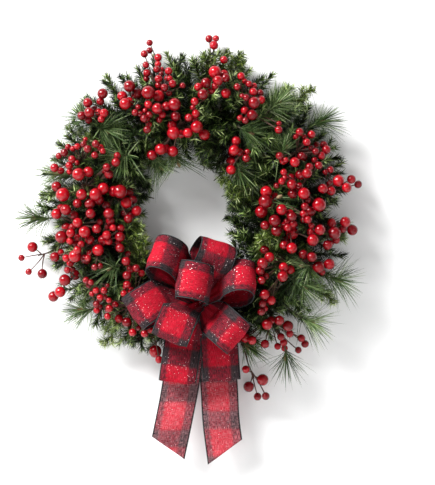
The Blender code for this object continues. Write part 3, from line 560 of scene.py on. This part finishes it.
def ribbon_material(name, painted_backlight, specks):
    """Faux linen in a black and red buffalo check, with slubs, a black selvedge and fine glitter; the pale
    pink in the gaps between loose threads is painted backlight, light from behind shining through.
    """
    made, tree, shader = nodes_of(name)
    uv = add_node(tree, "UVMap", uv_map="cloth").outputs["UV"]
    parts = add_node(tree, "SeparateXYZ", {"Vector": uv})
    wide, long = parts.outputs["X"], parts.outputs["Y"]
    slub = noise(tree, 260.0, 2.0, uv)
    wide_soft = maths(tree, "MULTIPLY_ADD", maths(tree, "SUBTRACT", slub, 0.5), 0.0022, wide)
    long_soft = maths(tree, "MULTIPLY_ADD", maths(tree, "SUBTRACT", slub, 0.5), 0.0030, long)
    left = RIBBON_WIDTH / 2 - LEFT_STRIPE
    right = RIBBON_WIDTH / 2 - RIGHT_STRIPE
    black_right = smooth_step(tree, wide_soft, right - 0.0030, right + 0.0026)
    black_left = smooth_step(tree, maths(tree, "MULTIPLY", wide_soft, -1.0), left - 0.0030, left + 0.0026)
    black_warp = maths(tree, "MAXIMUM", black_right, black_left)
    period = RED_BAND + DARK_BAND
    turns = maths(tree, "FRACT", maths(tree, "MULTIPLY_ADD", long_soft, 1 / period, 20.5))
    away = maths(tree, "ABSOLUTE", maths(tree, "SUBTRACT", turns, 0.5))
    edge = RED_BAND / 2 / period
    black_weft = smooth_step(tree, away, edge - 0.045, edge + 0.040)
    # single threads: fine noise drawn out along the warp and along the weft
    warp_way = add_node(tree, "Mapping", {"Vector": uv, "Scale": (1500.0, 120.0, 1.0)})
    weft_way = add_node(tree, "Mapping", {"Vector": uv, "Scale": (120.0, 1500.0, 1.0)})
    warp_thread = noise(tree, 1.0, 1.0, warp_way.outputs["Vector"])
    weft_thread = noise(tree, 1.0, 1.0, weft_way.outputs["Vector"])
    over = smooth_step(tree, maths(tree, "SUBTRACT", warp_thread, weft_thread), -0.16, 0.16)
    fibre = maths(tree, "MULTIPLY_ADD", maths(tree, "SUBTRACT", slub, 0.5), 0.6, over)
    red = blend(tree, fibre, (0.20, 0.0, 0.006), (0.46, 0.001, 0.017))
    black = blend(tree, fibre, (0.004, 0.005, 0.006), (0.018, 0.018, 0.020))
    both = blend(tree, fibre, (0.010, 0.003, 0.005), (0.200, 0.003, 0.014))
    mixed = blend(tree, black_warp, blend(tree, black_weft, red, both), blend(tree, black_weft, both, black))
    # painted backlight: where the threads lie loose, pale pink stands in for light shining through the cloth
    # from behind
    backlit_gaps = smooth_step(tree, maths(tree, "MAXIMUM", warp_thread, weft_thread), 0.42, 0.75)
    mixed = blend(tree, maths(tree, "MULTIPLY", backlit_gaps, painted_backlight), mixed, (0.80, 0.40, 0.43))
    side = RIBBON_WIDTH / 2
    selvedge = smooth_step(tree, maths(tree, "ABSOLUTE", wide), side - 0.0018, side - 0.0012)
    mixed = blend(tree, selvedge, mixed, (0.008, 0.010, 0.011))
    cells = add_node(tree, "TexVoronoi", {"Vector": uv, "Scale": 430.0}, voronoi_dimensions="2D")
    apart = add_node(tree, "SeparateColor", {"Color": cells.outputs["Color"]})
    chosen = maths(tree, "GREATER_THAN", apart.outputs["Red"], 1 - specks)
    small = maths(tree, "LESS_THAN", cells.outputs["Distance"], 0.21)
    clumps = smooth_step(tree, noise(tree, 30.0, 1.0, uv), 0.45, 0.6)
    glitter = maths(tree, "MULTIPLY", maths(tree, "MULTIPLY", chosen, small), clumps)
    fill(tree, shader, {
        "Base Color": blend(tree, glitter, mixed, (1.0, 0.80, 0.80)),
        "Roughness": maths(tree, "MULTIPLY_ADD", glitter, -0.65, 0.85),
        "Metallic": maths(tree, "MULTIPLY", glitter, 0.35), "Specular IOR Level": 0.06})
    bump(tree, shader, maths(tree, "ADD", warp_thread, weft_thread), 0.5, 0.0004)
    return made


# each needle's green varies at random; the near-black low stops are partly painted shade and the pale top
# stops partly painted highlights
PINE_NEEDLE = leaf_material("pine_needles", [
    (0.0, (0.002, 0.004, 0.001)), (0.4, (0.007, 0.016, 0.003)), (0.62, (0.038, 0.078, 0.011)),
    (0.8, (0.20, 0.30, 0.075)), (1.0, (0.50, 0.60, 0.26))], 0.36)
LONG_NEEDLE = leaf_material("long_pine_needles", [
    (0.0, (0.010, 0.022, 0.006)), (0.45, (0.050, 0.094, 0.026)), (0.75, (0.24, 0.33, 0.13)),
    (1.0, (0.58, 0.64, 0.40))], 0.42)
FIR_NEEDLE = leaf_material("fir_needles", [
    (0.0, (0.006, 0.012, 0.001)), (0.35, (0.030, 0.058, 0.006)), (0.62, (0.13, 0.20, 0.025)),
    (0.82, (0.32, 0.42, 0.09)), (1.0, (0.66, 0.74, 0.38))], 0.4)
BARK = bark_material("taped_stem", (0.020, 0.022, 0.012), (0.085, 0.070, 0.035))
BERRY_STEM = bark_material("berry_stem", (0.022, 0.007, 0.005), (0.100, 0.036, 0.020))
BUD = bark_material("pine_bud", (0.10, 0.055, 0.025), (0.36, 0.24, 0.12))
BERRY = berry_material()
# the second number is how strong the painted backlight in the weave's gaps is: faint on the loops, stronger
# on the tails that hang against the bright wall
CLOTH = ribbon_material("buffalo_check_linen", 0.06, 0.10)
TAIL_CLOTH = ribbon_material("buffalo_check_linen_against_light", 0.32, 0.035)
WIRE = wire_material()


# The bow

def width_of(roll, lean=0):
    """The way a ribbon's width runs."""
    turn, tilt = math.radians(roll), math.radians(lean)
    return (ACROSS * math.sin(turn) + UP * math.cos(turn)) * math.cos(tilt) - FRONT * math.sin(tilt)


def loop_rows(centre, width_way, turn, half_long, half_high, knot, steps):
    """Middle points of a loop, how wide the ribbon is there, and the way it faces."""
    ahead = Matrix.Rotation(math.radians(turn), 3, width_way) @ FRONT
    ahead = (ahead - width_way * ahead.dot(width_way)).normalized()
    over = width_way.cross(ahead).normalized()
    rows = []
    for i in range(steps + 1):
        part = 2 * i / steps - 1
        share = min(abs(part) / 0.72, 1)
        swing = math.copysign(share * math.radians(128), part)
        body = centre + ahead * half_long * math.cos(swing) + over * half_high * math.sin(swing)
        into = max(abs(part) - 0.72, 0) / 0.28
        eased = into * into * (3 - 2 * into)
        root = knot + over * math.copysign(KNOT_RADIUS * 0.36, part)
        rows.append((body.lerp(root, eased), 1 + (RIBBON_PINCH / RIBBON_WIDTH - 1) * eased))
    return rows


def smooth_line(points, steps):
    full = [points[0] * 2 - points[1], *points, points[-1] * 2 - points[-2]]
    line = []
    for i in range(steps + 1):
        place = i / steps * (len(points) - 1)
        k = min(int(place), len(points) - 2)
        t = place - k
        a, b, c, d = full[k:k + 4]
        line.append(0.5 * (2 * b + (c - a) * t + (2 * a - 5 * b + 4 * c - d) * t * t
                           + (3 * b - a - 3 * c + d) * t**3))
    return line


def ribbon_grid(rows, width_way, shift, cut, waves):
    """Points and flat places of a ribbon: waves gives each row's and column's lift off the plain strip."""
    points = np.array([np.array(p) for p, _ in rows])
    shares = np.array([s for _, s in rows])
    ways = unit(np.gradient(points, axis=0))
    wide = np.array(width_way)
    faces = unit(np.cross(ways, wide[None]))
    lengths = np.concatenate([[0], np.cumsum(np.linalg.norm(np.diff(points, axis=0), axis=1))])
    u = np.linspace(-1, 1, RIBBON_COLUMNS + 1)
    last = (np.arange(len(rows)) / (len(rows) - 1)) ** 6
    run = unit(points[-1] - points[-2])
    grid = points[:, None] + wide[None, None] * (u[None, :, None] * shares[:, None, None] * RIBBON_WIDTH / 2)
    grid = grid + run[None, None] * (cut / 2 * u[None, :, None] * last[:, None, None])
    pleats = (1 - shares)[:, None] * 0.0065 * np.cos(u * math.pi * 3.5)[None]
    grid = grid + faces[:, None] * (pleats + waves(lengths[:, None] / lengths[-1], u[None]))[..., None]
    flat_u = np.broadcast_to(u[None] * RIBBON_WIDTH / 2, grid.shape[:2])
    flat_v = np.broadcast_to((lengths - shift)[:, None], grid.shape[:2]) + cut / 2 * u[None] * last[:, None]
    return grid, flat_u, flat_v, lengths[-1]


def ribbon_sheet(name, grid, flat_u, flat_v, cloth):
    """The cloth of one loop or tail and the wire in its two edges."""
    rows, columns = grid.shape[:2]
    index = np.arange(rows * columns).reshape(rows, columns)
    quads = np.stack([index[:-1, :-1], index[:-1, 1:], index[1:, 1:], index[1:, :-1]], axis=-1).reshape(-1, 4)
    mesh = bpy.data.meshes.new(name)
    mesh.from_pydata(grid.reshape(-1, 3).tolist(), [], quads.tolist())
    layer = mesh.uv_layers.new(name="cloth")
    flat = np.stack([flat_u.ravel(), flat_v.ravel()], axis=-1)[quads.ravel()]
    layer.data.foreach_set("uv", flat.astype(np.float32).ravel())
    mesh.polygons.foreach_set("use_smooth", np.ones(len(quads), dtype=bool))
    mesh.materials.append(cloth)
    sheet = new_object(name, mesh)
    thick = sheet.modifiers.new("cloth thickness", "SOLIDIFY")
    thick.thickness = RIBBON_THICK
    thick.offset = 0
    wires = Shape()
    for j in (0, columns - 1):
        add_tube(wires, grid[:, j], EDGE_WIRE, 6)
    edge = wires.object(f"{name}_edge_wires", [EDGE])
    for piece in (sheet, edge):
        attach(piece, "root")
        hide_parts("bow_ribbon")
    ribbon_points.append(grid.reshape(-1, 3))


def edge_material():
    made, tree, shader = nodes_of("black_selvedge")
    where = place_of(tree)
    thread = noise(tree, 1800.0, 2.0, where)
    black = ramp(tree, thread, [(0.3, (0.006, 0.008, 0.009)), (0.7, (0.030, 0.033, 0.036))])
    fill(tree, shader, {"Base Color": black, "Roughness": 0.8})
    bump(tree, shader, thread, 0.6, 0.0003)
    return made


EDGE = edge_material()


def make_bow():
    knot = from_pixels(*KNOT_PIXEL, KNOT_DEPTH)
    for k, (name, loop) in enumerate(BOW_LOOPS.items()):
        pixel, depth, roll, lean, turn, half_long, half_high, band = loop
        way = width_of(roll, lean)
        rows = loop_rows(from_pixels(*pixel, depth), way, turn, half_long, half_high, knot, LOOP_ROWS)

        def waves(t, u, k=k):
            crown = -0.0022 * u * u
            dent = 0.0016 * np.sin(t * 9.0 + k * 1.7 + u * 0.8) * (1 - (2 * t - 1) ** 4)
            return crown + dent + 0.0007 * np.sin(u * 5.0 + t * 23.0 + k)

        half = sum((rows[i + 1][0] - rows[i][0]).length for i in range(LOOP_ROWS // 2))
        grid, flat_u, flat_v, length = ribbon_grid(rows, way, half + band, 0.0, waves)
        ribbon_sheet(f"bow_loop_{name}", grid, flat_u, flat_v, CLOTH)
    for k, (name, (points, cut, band)) in enumerate(BOW_TAILS.items()):
        spots = smooth_line([knot] + [from_pixels(*p) for p in points], TAIL_ROWS)
        shares = [min(RIBBON_PINCH / RIBBON_WIDTH + i / PINCHED_ROWS, 1) for i in range(TAIL_ROWS + 1)]

        def waves(t, u, k=k):
            return (0.0022 * np.sin(t * 17.0 + k * 2.0 + u * 0.9) + 0.0012 * np.sin(u * 3.4 + t * 9.0)) * t

        grid, flat_u, flat_v, length = ribbon_grid(list(zip(spots, shares)), ACROSS, band, cut, waves)
        ribbon_sheet(f"bow_tail_{name}", grid, flat_u, flat_v, TAIL_CLOTH)
    wrap = Shape()
    turns = np.linspace(0, 5 * 2 * math.pi, 120)
    spots = np.array(knot)[None] + np.stack([
        (turns / turns[-1] - 0.5) * 0.010, np.cos(turns) * 0.0095, np.sin(turns) * 0.0095], axis=-1)
    add_tube(wrap, spots, 0.0009, 6)
    winding = wrap.object("bow_knot_wire", [WIRE])
    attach(winding, "root")
    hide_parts("bow_ribbon")


# Berries

def ball(sides, rings):
    points = [(0, 0, -1)]
    for i in range(1, rings):
        tilt = math.pi * i / rings
        for j in range(sides):
            turn = 2 * math.pi * j / sides
            points.append((math.sin(tilt) * math.cos(turn), math.sin(tilt) * math.sin(turn), -math.cos(tilt)))
    points.append((0, 0, 1))
    faces = []
    for j in range(sides):
        following = (j + 1) % sides
        faces.append((0, 1 + following, 1 + j))
        for i in range(rings - 2):
            a, b = 1 + i * sides + j, 1 + i * sides + following
            faces += [(a, b, b + sides), (a, b + sides, a + sides)]
        last = 1 + (rings - 2) * sides
        faces.append((last + j, last + following, len(points) - 1))
    return np.array(points, dtype=float), np.array(faces)


BALL = ball(18, 11)


def cad_depth(node, x, z, width):
    """How far in front of the door the CAD's berry at this place has its middle, or None."""
    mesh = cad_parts[node].data
    points = np.empty(len(mesh.vertices) * 3)
    mesh.vertices.foreach_get("co", points)
    points = points.reshape(-1, 3)
    near = points[np.hypot(points[:, 0] - x, points[:, 2] - z) < width * 0.56]
    return -(near[:, 1].min() + 0.42 * width) if len(near) > 3 else None


def has_room(place, radius, overlap=0.0004):
    return all((place - Vector(c)).length > r + radius - overlap for c, r in berries)


def settle(x, y, width):
    """A depth for a berry at which it is clear of the berries already placed."""
    for step in (0.004, -0.004, 0.010, -0.011, 0.016, -0.018, 0.022, -0.025, -0.032, -0.040):
        flat = from_pixels(x, y, 0)
        place = from_pixels(x, y, max(front_depth(flat) + step, width * 0.8))
        if has_room(place, width / 2):
            return place
    return None


def deeper_berry(place, radius):
    """A smaller berry half behind this one, where there is room for it in the foliage, or None."""
    for _ in range(6):
        turn, size = rng.uniform(0, 2 * math.pi), radius * rng.uniform(0.7, 0.95)
        aside = outward(turn) * (radius + size) * rng.uniform(0.75, 1.0)
        spot = place + aside - FRONT * rng.uniform(0.009, 0.020)
        if from_ring(spot) < 0.075 and spot.y < -0.03 and not shadow.blocks(np.array(spot)[None])[0]:
            if has_room(spot, size):
                return spot, size
    return None


def keep_berry(spray, place, radius, key=None):
    berries.append((np.array(place), radius))
    spray.append((place, radius, key))


def place_berries():
    """Each spray's berries, the CAD's own first, at the CAD's depth."""
    placed = {}
    for name, (_, spots) in BERRY_SPRAYS.items():
        placed[name] = []
        for x, y, across in spots[:4]:
            flat = from_pixels(x, y, 0)
            depth = cad_depth(f"berry_spray_{name}", flat.x, flat.z, across * PIXEL)
            if depth is None:
                continue
            place = from_pixels(x, y, depth)
            if has_room(place, across * PIXEL / 2, 0.001):
                keep_berry(placed[name], place, across * PIXEL / 2, (x, y))
    for name, (_, spots) in BERRY_SPRAYS.items():
        done = {key for _, _, key in placed[name]}
        for x, y, across in spots:
            if (x, y) in done:
                continue
            place = settle(x, y, across * PIXEL)
            if place:
                keep_berry(placed[name], place, across * PIXEL / 2, (x, y))
    for spray in placed.values():
        for place, radius, _ in spray[:]:
            deeper = deeper_berry(place, radius) if radius > 0.0060 and rng.random() < 0.9 else None
            if deeper:
                keep_berry(spray, *deeper)
    return placed


def facing_rotation(way):
    """A turn that takes +Z to the way."""
    way = unit(np.array(way))
    side, over = sideways(way[None])
    return np.stack([side[0], over[0], way], axis=1)


def berry_piece(name, spots, forks):
    shape = Shape()
    for place, radius, _ in spots:
        away = unit(np.array(place) - forks + rng.normal(size=3) * 0.01)
        points = BALL[0].copy()
        points[:, 2] *= rng.uniform(0.94, 1.04)
        dimple = np.clip((points[:, 2] - 0.93) / 0.1, 0, 1)
        points[:, 2] -= dimple * 0.10
        turned_points = points * radius @ facing_rotation(away).T
        shape.add(turned_points + np.array(place), BALL[1], 0, rng.uniform(0.15, 1.0), True)
        crown = 5
        side, over = sideways(away[None])
        turns = rng.uniform(0, 6) + np.arange(crown) * 2 * math.pi / crown
        radial = around(side, over, turns)
        base = np.array(place) + away * radius * 0.86 + radial * radius * 0.10
        way = unit(away[None] + radial * 0.7)
        sizes = (np.full(crown, radius * share) for share in (0.26, 0.16, 0.06))
        add_spikes(shape, base, way, np.cross(way, radial), *sizes, np.full(crown, 0.2), finish=1)
    return shape.object(name, [BERRY, BERRY_STEM])


def spray_stems(name, fork_pixel, spots):
    """A taped wire stem from the bound stems to the fork, and a twig to every berry."""
    flat = from_pixels(*fork_pixel, 0)
    fork = from_pixels(*fork_pixel, max(front_depth(flat) - 0.026, 0.016))
    root = pick_root(fork)
    pull = root.lerp(fork, 0.45) + FRONT * 0.012
    path = (root, pull, fork)
    shape = Shape()
    steps = np.linspace(0, 1, 14)
    stem = curve_at(path, steps)
    stem += np.sin(steps * 21)[:, None] * 0.0007 * np.array([1.0, 0.0, 0.6])
    add_tube(shape, stem, np.linspace(0.0016, 0.0011, 14), 7, tint=0.3)
    reach = np.linalg.norm(np.array(fork) - np.array(root))
    for place, _, _ in spots:
        target = np.array(place)
        far = np.linalg.norm(target - np.array(fork))
        share = float(np.clip(1 - 0.35 * far / max(reach, 0.02), 0.55, 0.99))
        start = curve_at(path, [share])[0]
        middle = (start + target) / 2 + np.array([0.0, -0.003, 0.0]) + rng.normal(size=3) * far * 0.07
        t = np.linspace(0, 1, 9)
        twig = curve_at((start, middle, target), t)
        add_tube(shape, twig, np.linspace(0.0012, 0.0010, 9), 6, tint=0.3)
    return shape.object(name, [BERRY_STEM]), np.array(fork)


def make_berries(placed):
    for name, (fork_pixel, _) in BERRY_SPRAYS.items():
        stems, fork = spray_stems(f"berry_stems_{name}", fork_pixel, placed[name])
        fruit = berry_piece(f"berries_{name}", placed[name], fork)
        for piece in (stems, fruit):
            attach(piece, "root")
            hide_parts(f"berry_spray_{name}")


# Foliage

HUBS = np.array([from_pixels(*tip[0], tip[1]) for tip in PINE_TIPS + BOUND_PINE_TIPS])


def before_hub(spots):
    """Which spots lie in front of a long-needled tip, whose star of needles shows."""
    flat = np.hypot(spots[:, None, 0] - HUBS[:, 0], spots[:, None, 2] - HUBS[:, 2])
    return ((flat < HUB_RADIUS) & (spots[:, None, 1] < HUBS[:, 1] + 0.008)).any(axis=1)


def brush(shape, path, number, first, tone, length=0.0205, width=0.0025, hole=PINE_HOLE, lean=60, flatness=1):
    """A twisted-wire tip whose cut needles stand out evenly round it, out to a rounded end."""
    t = first + (1 - first) * (np.arange(number) + rng.random(number)) / number
    base, way = curve_at(path, t), heading_at(path, t)
    side, over = sideways(way)
    if flatness < 1:  # a comb that faces the front
        side = unit(np.cross(way, np.array(FRONT)))
        over = np.cross(side, way)
    turn = np.arange(number) * GOLDEN_TURN + rng.normal(scale=0.25, size=number)
    radial = unit(around(side, over, turn, flatness))
    place = (t - first) / (1 - first)
    lean = np.radians(lean - 20 * place**2 + rng.normal(scale=10, size=number))
    aim = around(way, radial, lean)
    fuller = np.sin(np.clip(place * 1.15 + 0.12, 0, 1) * math.pi) ** 0.8
    long = length * rng.uniform(0.86, 1.1, number) * (0.86 + 0.26 * fuller)
    long = long * np.where(place > 0.9, 1 - (place - 0.9) * 2.2, 1)
    keep = clear_needles(base, aim, long, hole) & ~before_hub(base + aim * long[:, None] * 0.6)
    spin = rng.normal(scale=0.5, size=number)
    flat = unit(around(np.cross(aim, radial), radial, spin))
    flat = unit(flat - aim * (flat * aim).sum(axis=1, keepdims=True))
    # painted shade and light: needles are lighter towards the tip's outer end and darker at its base, deep
    # inside the foliage
    tint = np.clip(0.295 + tone + rng.normal(scale=0.29, size=number) + 0.55 * (place - 0.5), 0.02, 1)
    add_spikes(shape, base[keep], aim[keep], flat[keep], long[keep], np.full(keep.sum(), width),
               np.full(keep.sum(), NEEDLE_THICK), tint[keep])


def stem_clear(path):
    spots = curve_at(path, np.linspace(0.3, 1, 10))
    return not shadow.blocks(spots).any()


def add_stem(shape, path, thick, thin, finish=1, steps=8, sides=5):
    t = np.linspace(0, 1, steps)
    add_tube(shape, curve_at(path, t), np.linspace(thick, thin, steps), sides, finish)


# Rings of tips: the lean from outward towards the front in degrees, the reach, and how many in a sector
TIP_LAYERS = [
    (3, 0.094, 5), (20, 0.097, 4), (38, 0.095, 4), (56, 0.090, 4), (76, 0.084, 3), (98, 0.082, 3),
    (120, 0.083, 3), (144, 0.086, 4), (168, 0.086, 4),
]


def sector_span(k):
    step = 2 * math.pi / SECTORS
    return TIE_ANGLE + k * step, TIE_ANGLE + (k + 1) * step


def foliage_piece(k):
    """One stretch of the ring: its bound stems and every short-needled tip that grows from them."""
    shape = Shape()
    low, high = sector_span(k)
    hole_middle = from_pixels(*HOLE_PIXEL, 0)
    for layer, (lean, reach, number) in enumerate(TIP_LAYERS):
        for i in range(number):
            part = (i + 0.5 + 0.25 * (-1) ** layer + rng.uniform(-0.22, 0.22)) / number
            angle = low + (high - low) * part
            tilt = math.radians(lean + rng.uniform(-9, 9))
            way = outward(angle) * math.cos(tilt) + FRONT * math.sin(tilt)
            root = CENTRE + outward(angle) * (RING_RADIUS + 0.004 * math.cos(tilt))
            root += FRONT * (0.008 + 0.006 * math.sin(tilt))
            far = reach * rng.uniform(0.90, 1.07)
            if lean > INWARD_LEAN:  # the hole's middle lies up and to the left of the ring's
                low_right = min(max(math.sin(-angle - 0.3), 0), 1)
                to_hole = (CENTRE + outward(angle) * RING_RADIUS - hole_middle).length - 0.062
                far = to_hole * (1 - 0.5 * low_right) * rng.uniform(0.90, 1.04)
            sweep = rng.uniform(-0.45, 0.45) * (0.5 if lean > INWARD_LEAN else 1)
            end = root + (way + along(angle) * sweep).normalized() * far
            end.y = min(end.y, -0.016)
            if before_hub(np.array(end)[None])[0]:
                end = root.lerp(end, 0.62)
            path = (root, root + way * far * 0.5, end)
            if not stem_clear(path):
                path = (root, root + way * far * 0.3, root.lerp(end, 0.55))
                if not stem_clear(path):
                    continue
            add_stem(shape, path, 0.0017, 0.0009)
            brush(shape, path, round(PINE_NEEDLES_A_METRE * far), 0.20, rng.normal(scale=0.10))
    angles = np.linspace(low + 0.004, high - 0.004, 14)
    for s in range(STRANDS):
        turn = s * 2 * math.pi / STRANDS + angles * 3.0
        radius = RING_RADIUS + STRAND_COIL * np.cos(turn)
        depth = 0.0085 + STRAND_COIL * np.sin(turn)
        spots = np.stack([np.cos(angles) * radius, -depth, np.sin(angles) * radius + CENTRE.z], axis=-1)
        add_tube(shape, spots, 0.0024, 7, finish=1)
    made = shape.object(f"pine_tips_{k + 1:02d}", [PINE_NEEDLE, BARK])
    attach(made, "root")
    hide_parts(f"pine_foliage_{k + 1:02d}")


def pick_root(neck):
    """Where a tip's stem leaves the bound stems."""
    return CENTRE + outward(ring_angle(neck)) * RING_RADIUS + FRONT * 0.012


def long_pine(name, pixel, depth, heading, node=None):
    way = (outward(math.radians(heading)) + FRONT * 0.35).normalized()
    tip = from_pixels(*pixel, depth)
    path = (pick_root(tip - way * 0.03), tip - way * 0.035, tip)
    shape = Shape()
    add_stem(shape, path, 0.0019, 0.0014, 1, 10, 6)
    t = 1 - 0.34 * rng.random(LONG_NEEDLES) ** 1.3
    base, ways = curve_at(path, t), heading_at(path, t)
    side, over = sideways(ways)
    spin = np.arange(LONG_NEEDLES) * GOLDEN_TURN + rng.normal(scale=0.3, size=LONG_NEEDLES)
    radial = around(side, over, spin)
    lean = np.radians(rng.uniform(10, 78, LONG_NEEDLES))
    aim = around(ways, radial, lean)
    long = rng.uniform(0.040, 0.062, LONG_NEEDLES)
    bend = radial * 0.10 + np.array([0, 0, -0.10]) + rng.normal(scale=0.05, size=(LONG_NEEDLES, 3))
    bend *= long[:, None]
    keep = clear_needles(base, aim, long, LONG_PINE_HOLE, bend)
    flat = unit(np.cross(aim, radial))
    tint = np.clip(0.45 + rng.normal(scale=0.2, size=LONG_NEEDLES), 0.02, 1)
    add_spikes(shape, base[keep], aim[keep], flat[keep], long[keep], np.full(keep.sum(), 0.0015),
               np.full(keep.sum(), NEEDLE_THICK), tint[keep], bend[keep], 4)
    axis = unit(np.array(way))
    points = BALL[0] * np.array([0.0032, 0.0032, BUD_LENGTH]) @ facing_rotation(axis).T
    points = points + np.array(tip) + axis * BUD_LENGTH * 0.7
    if not shadow.blocks(points).any():
        shape.add(points, BALL[1], 2, 0.5, True)
    made = shape.object(name, [LONG_NEEDLE, BARK, BUD])
    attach(made, "root")
    if node:
        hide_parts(node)


def fir_sprig(name, pixel, depth, node=None):
    """A flat moulded sprig: a twig with side twigs in one plane and short needles close along all of them."""
    tip = from_pixels(*pixel, depth)
    sign = 1 if (tip - CENTRE).xz.length > RING_RADIUS else -1
    way = (outward(ring_angle(tip)) * sign + FRONT * 0.3).normalized()
    path = (pick_root(tip - way * 0.04), tip - way * 0.05, tip)
    shape = Shape()
    add_stem(shape, path, 0.0017, 0.0008, 1, 10, 5)
    twigs = [(path, 0.40, 150)]
    spots = np.linspace(0.55, 0.88, 4)
    for i, t in enumerate(spots):
        start = Vector(curve_at(path, [t])[0])
        ahead = Vector(heading_at(path, [t])[0])
        flank = ahead.cross(FRONT).normalized() * (1 if i % 2 else -1)
        out = (ahead * 0.75 + flank * 0.8 + FRONT * rng.uniform(-0.1, 0.2)).normalized()
        reach = 0.024 * (1.1 - 0.75 * (t - 0.5) / 0.5) * rng.uniform(0.85, 1.15)
        twig = (start, start + out * reach * 0.5, start + (out + ahead * 0.35).normalized() * reach)
        if stem_clear(twig):
            add_stem(shape, twig, 0.0010, 0.0005, 1, 5, 4)
            twigs.append((twig, 0.06, 36))
    for twig, first, number in twigs:
        brush(shape, twig, number, first, 0.02, 0.0150, 0.0019, FIR_HOLE, lean=62, flatness=0.30)
    made = shape.object(name, [FIR_NEEDLE, BARK])
    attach(made, "root")
    if node:
        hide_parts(node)


make_bow()
shadow = RibbonShadow(np.concatenate(ribbon_points))
make_berries(place_berries())
for sector in range(SECTORS):
    foliage_piece(sector)
for number, (pixel, depth, heading) in enumerate(PINE_TIPS, 1):
    long_pine(f"long_pine_tip_{number}", pixel, depth, heading, f"long_needle_pine_{number}")
for number, (pixel, depth, heading, sector) in enumerate(BOUND_PINE_TIPS, len(PINE_TIPS) + 1):
    long_pine(f"long_pine_tip_{number}", pixel, depth, heading, f"pine_foliage_{sector:02d}")
for number, (pixel, depth, heading) in enumerate(MORE_PINE_TIPS, len(PINE_TIPS + BOUND_PINE_TIPS) + 1):
    long_pine(f"long_pine_tip_{number}", pixel, depth, heading)
for number, (pixel, depth) in enumerate(FIR_TIPS, 1):
    fir_sprig(f"fir_tip_{number}", pixel, depth, f"fir_sprig_{number}")
for number, (pixel, depth) in enumerate(MORE_FIR_TIPS, len(FIR_TIPS) + 1):
    fir_sprig(f"fir_tip_{number}", pixel, depth)
for node in ("wire_ring", "bow_tie_wire"):
    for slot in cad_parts[node].material_slots:
        slot.material = WIRE


# The room

def plane(name, size, place, turn, colour, see_through_back):
    mesh = bpy.data.meshes.new(name)
    half = size / 2
    corners = [(-half, -half, 0), (half, -half, 0), (half, half, 0), (-half, half, 0)]
    mesh.from_pydata(corners, [], [(0, 1, 2, 3)])
    made = new_object(name, mesh)
    made.location = place
    made.rotation_euler = turn
    paint, tree, shader = nodes_of(f"{name}_paint")
    where = place_of(tree)
    even = blend(tree, noise(tree, 3.0, 2.0, where), colour, tuple(c * 0.985 for c in colour))
    fill(tree, shader, {"Base Color": even, "Roughness": 0.9})
    if see_through_back:
        clear = add_node(tree, "BsdfTransparent")
        back = add_node(tree, "NewGeometry").outputs["Backfacing"]
        mixed = add_node(tree, "MixShader", {0: back, 1: shader.outputs[0], 2: clear.outputs[0]})
        tree.links.new(mixed.outputs[0], tree.nodes["Material Output"].inputs["Surface"])
    mesh.materials.append(paint)


LIT_SPOT = Vector((0, 0, -0.2))
CAMERA_AWAY = 4.5  # from the depth at which PIXEL holds
SCALE_DEPTH = 0.06


def area_light(name, place, size, power):
    data = bpy.data.lights.new(name, "AREA")
    data.size = size
    data.energy = power
    made = new_object(name, data)
    made.location = place
    made.rotation_euler = (LIT_SPOT - Vector(place)).to_track_quat("-Z", "Y").to_euler()


plane("wall", 8, (0, 0.004, 0), (math.pi / 2, 0, 0), (0.86, 0.86, 0.86), True)
plane("floor", 8, (0, -2, -1.2), (0, 0, 0), (0.82, 0.82, 0.82), False)
area_light("key", (-2.4, -2.0, 2.15), 1.5, 350)
area_light("lamp", (-1.4, -2.4, 1.7), 0.25, 18)
area_light("fill", (1.8, -2.4, 0.2), 1.2, 10)
world = bpy.data.worlds.new("soft_room")
world.use_nodes = True
fill(world.node_tree, world.node_tree.nodes["Background"], {"Color": (1, 1, 1, 1), "Strength": 0.23})
bpy.context.scene.world = world
bpy.context.scene.view_settings.view_transform = "Standard"

camera = bpy.data.cameras.new("camera")
camera.sensor_width = 36
camera.lens = camera.sensor_width * CAMERA_AWAY / (PHOTO_HEIGHT * PIXEL)
camera.clip_end = 50
viewer = new_object("camera", camera)
aside, above = PHOTO_WIDTH / 2 - RING_PIXEL[0], RING_PIXEL[1] - PHOTO_HEIGHT / 2
viewer.location = (aside * PIXEL, -CAMERA_AWAY - SCALE_DEPTH, CENTRE.z + above * PIXEL)
viewer.rotation_euler = (math.pi / 2, 0, 0)
bpy.context.scene.camera = viewer
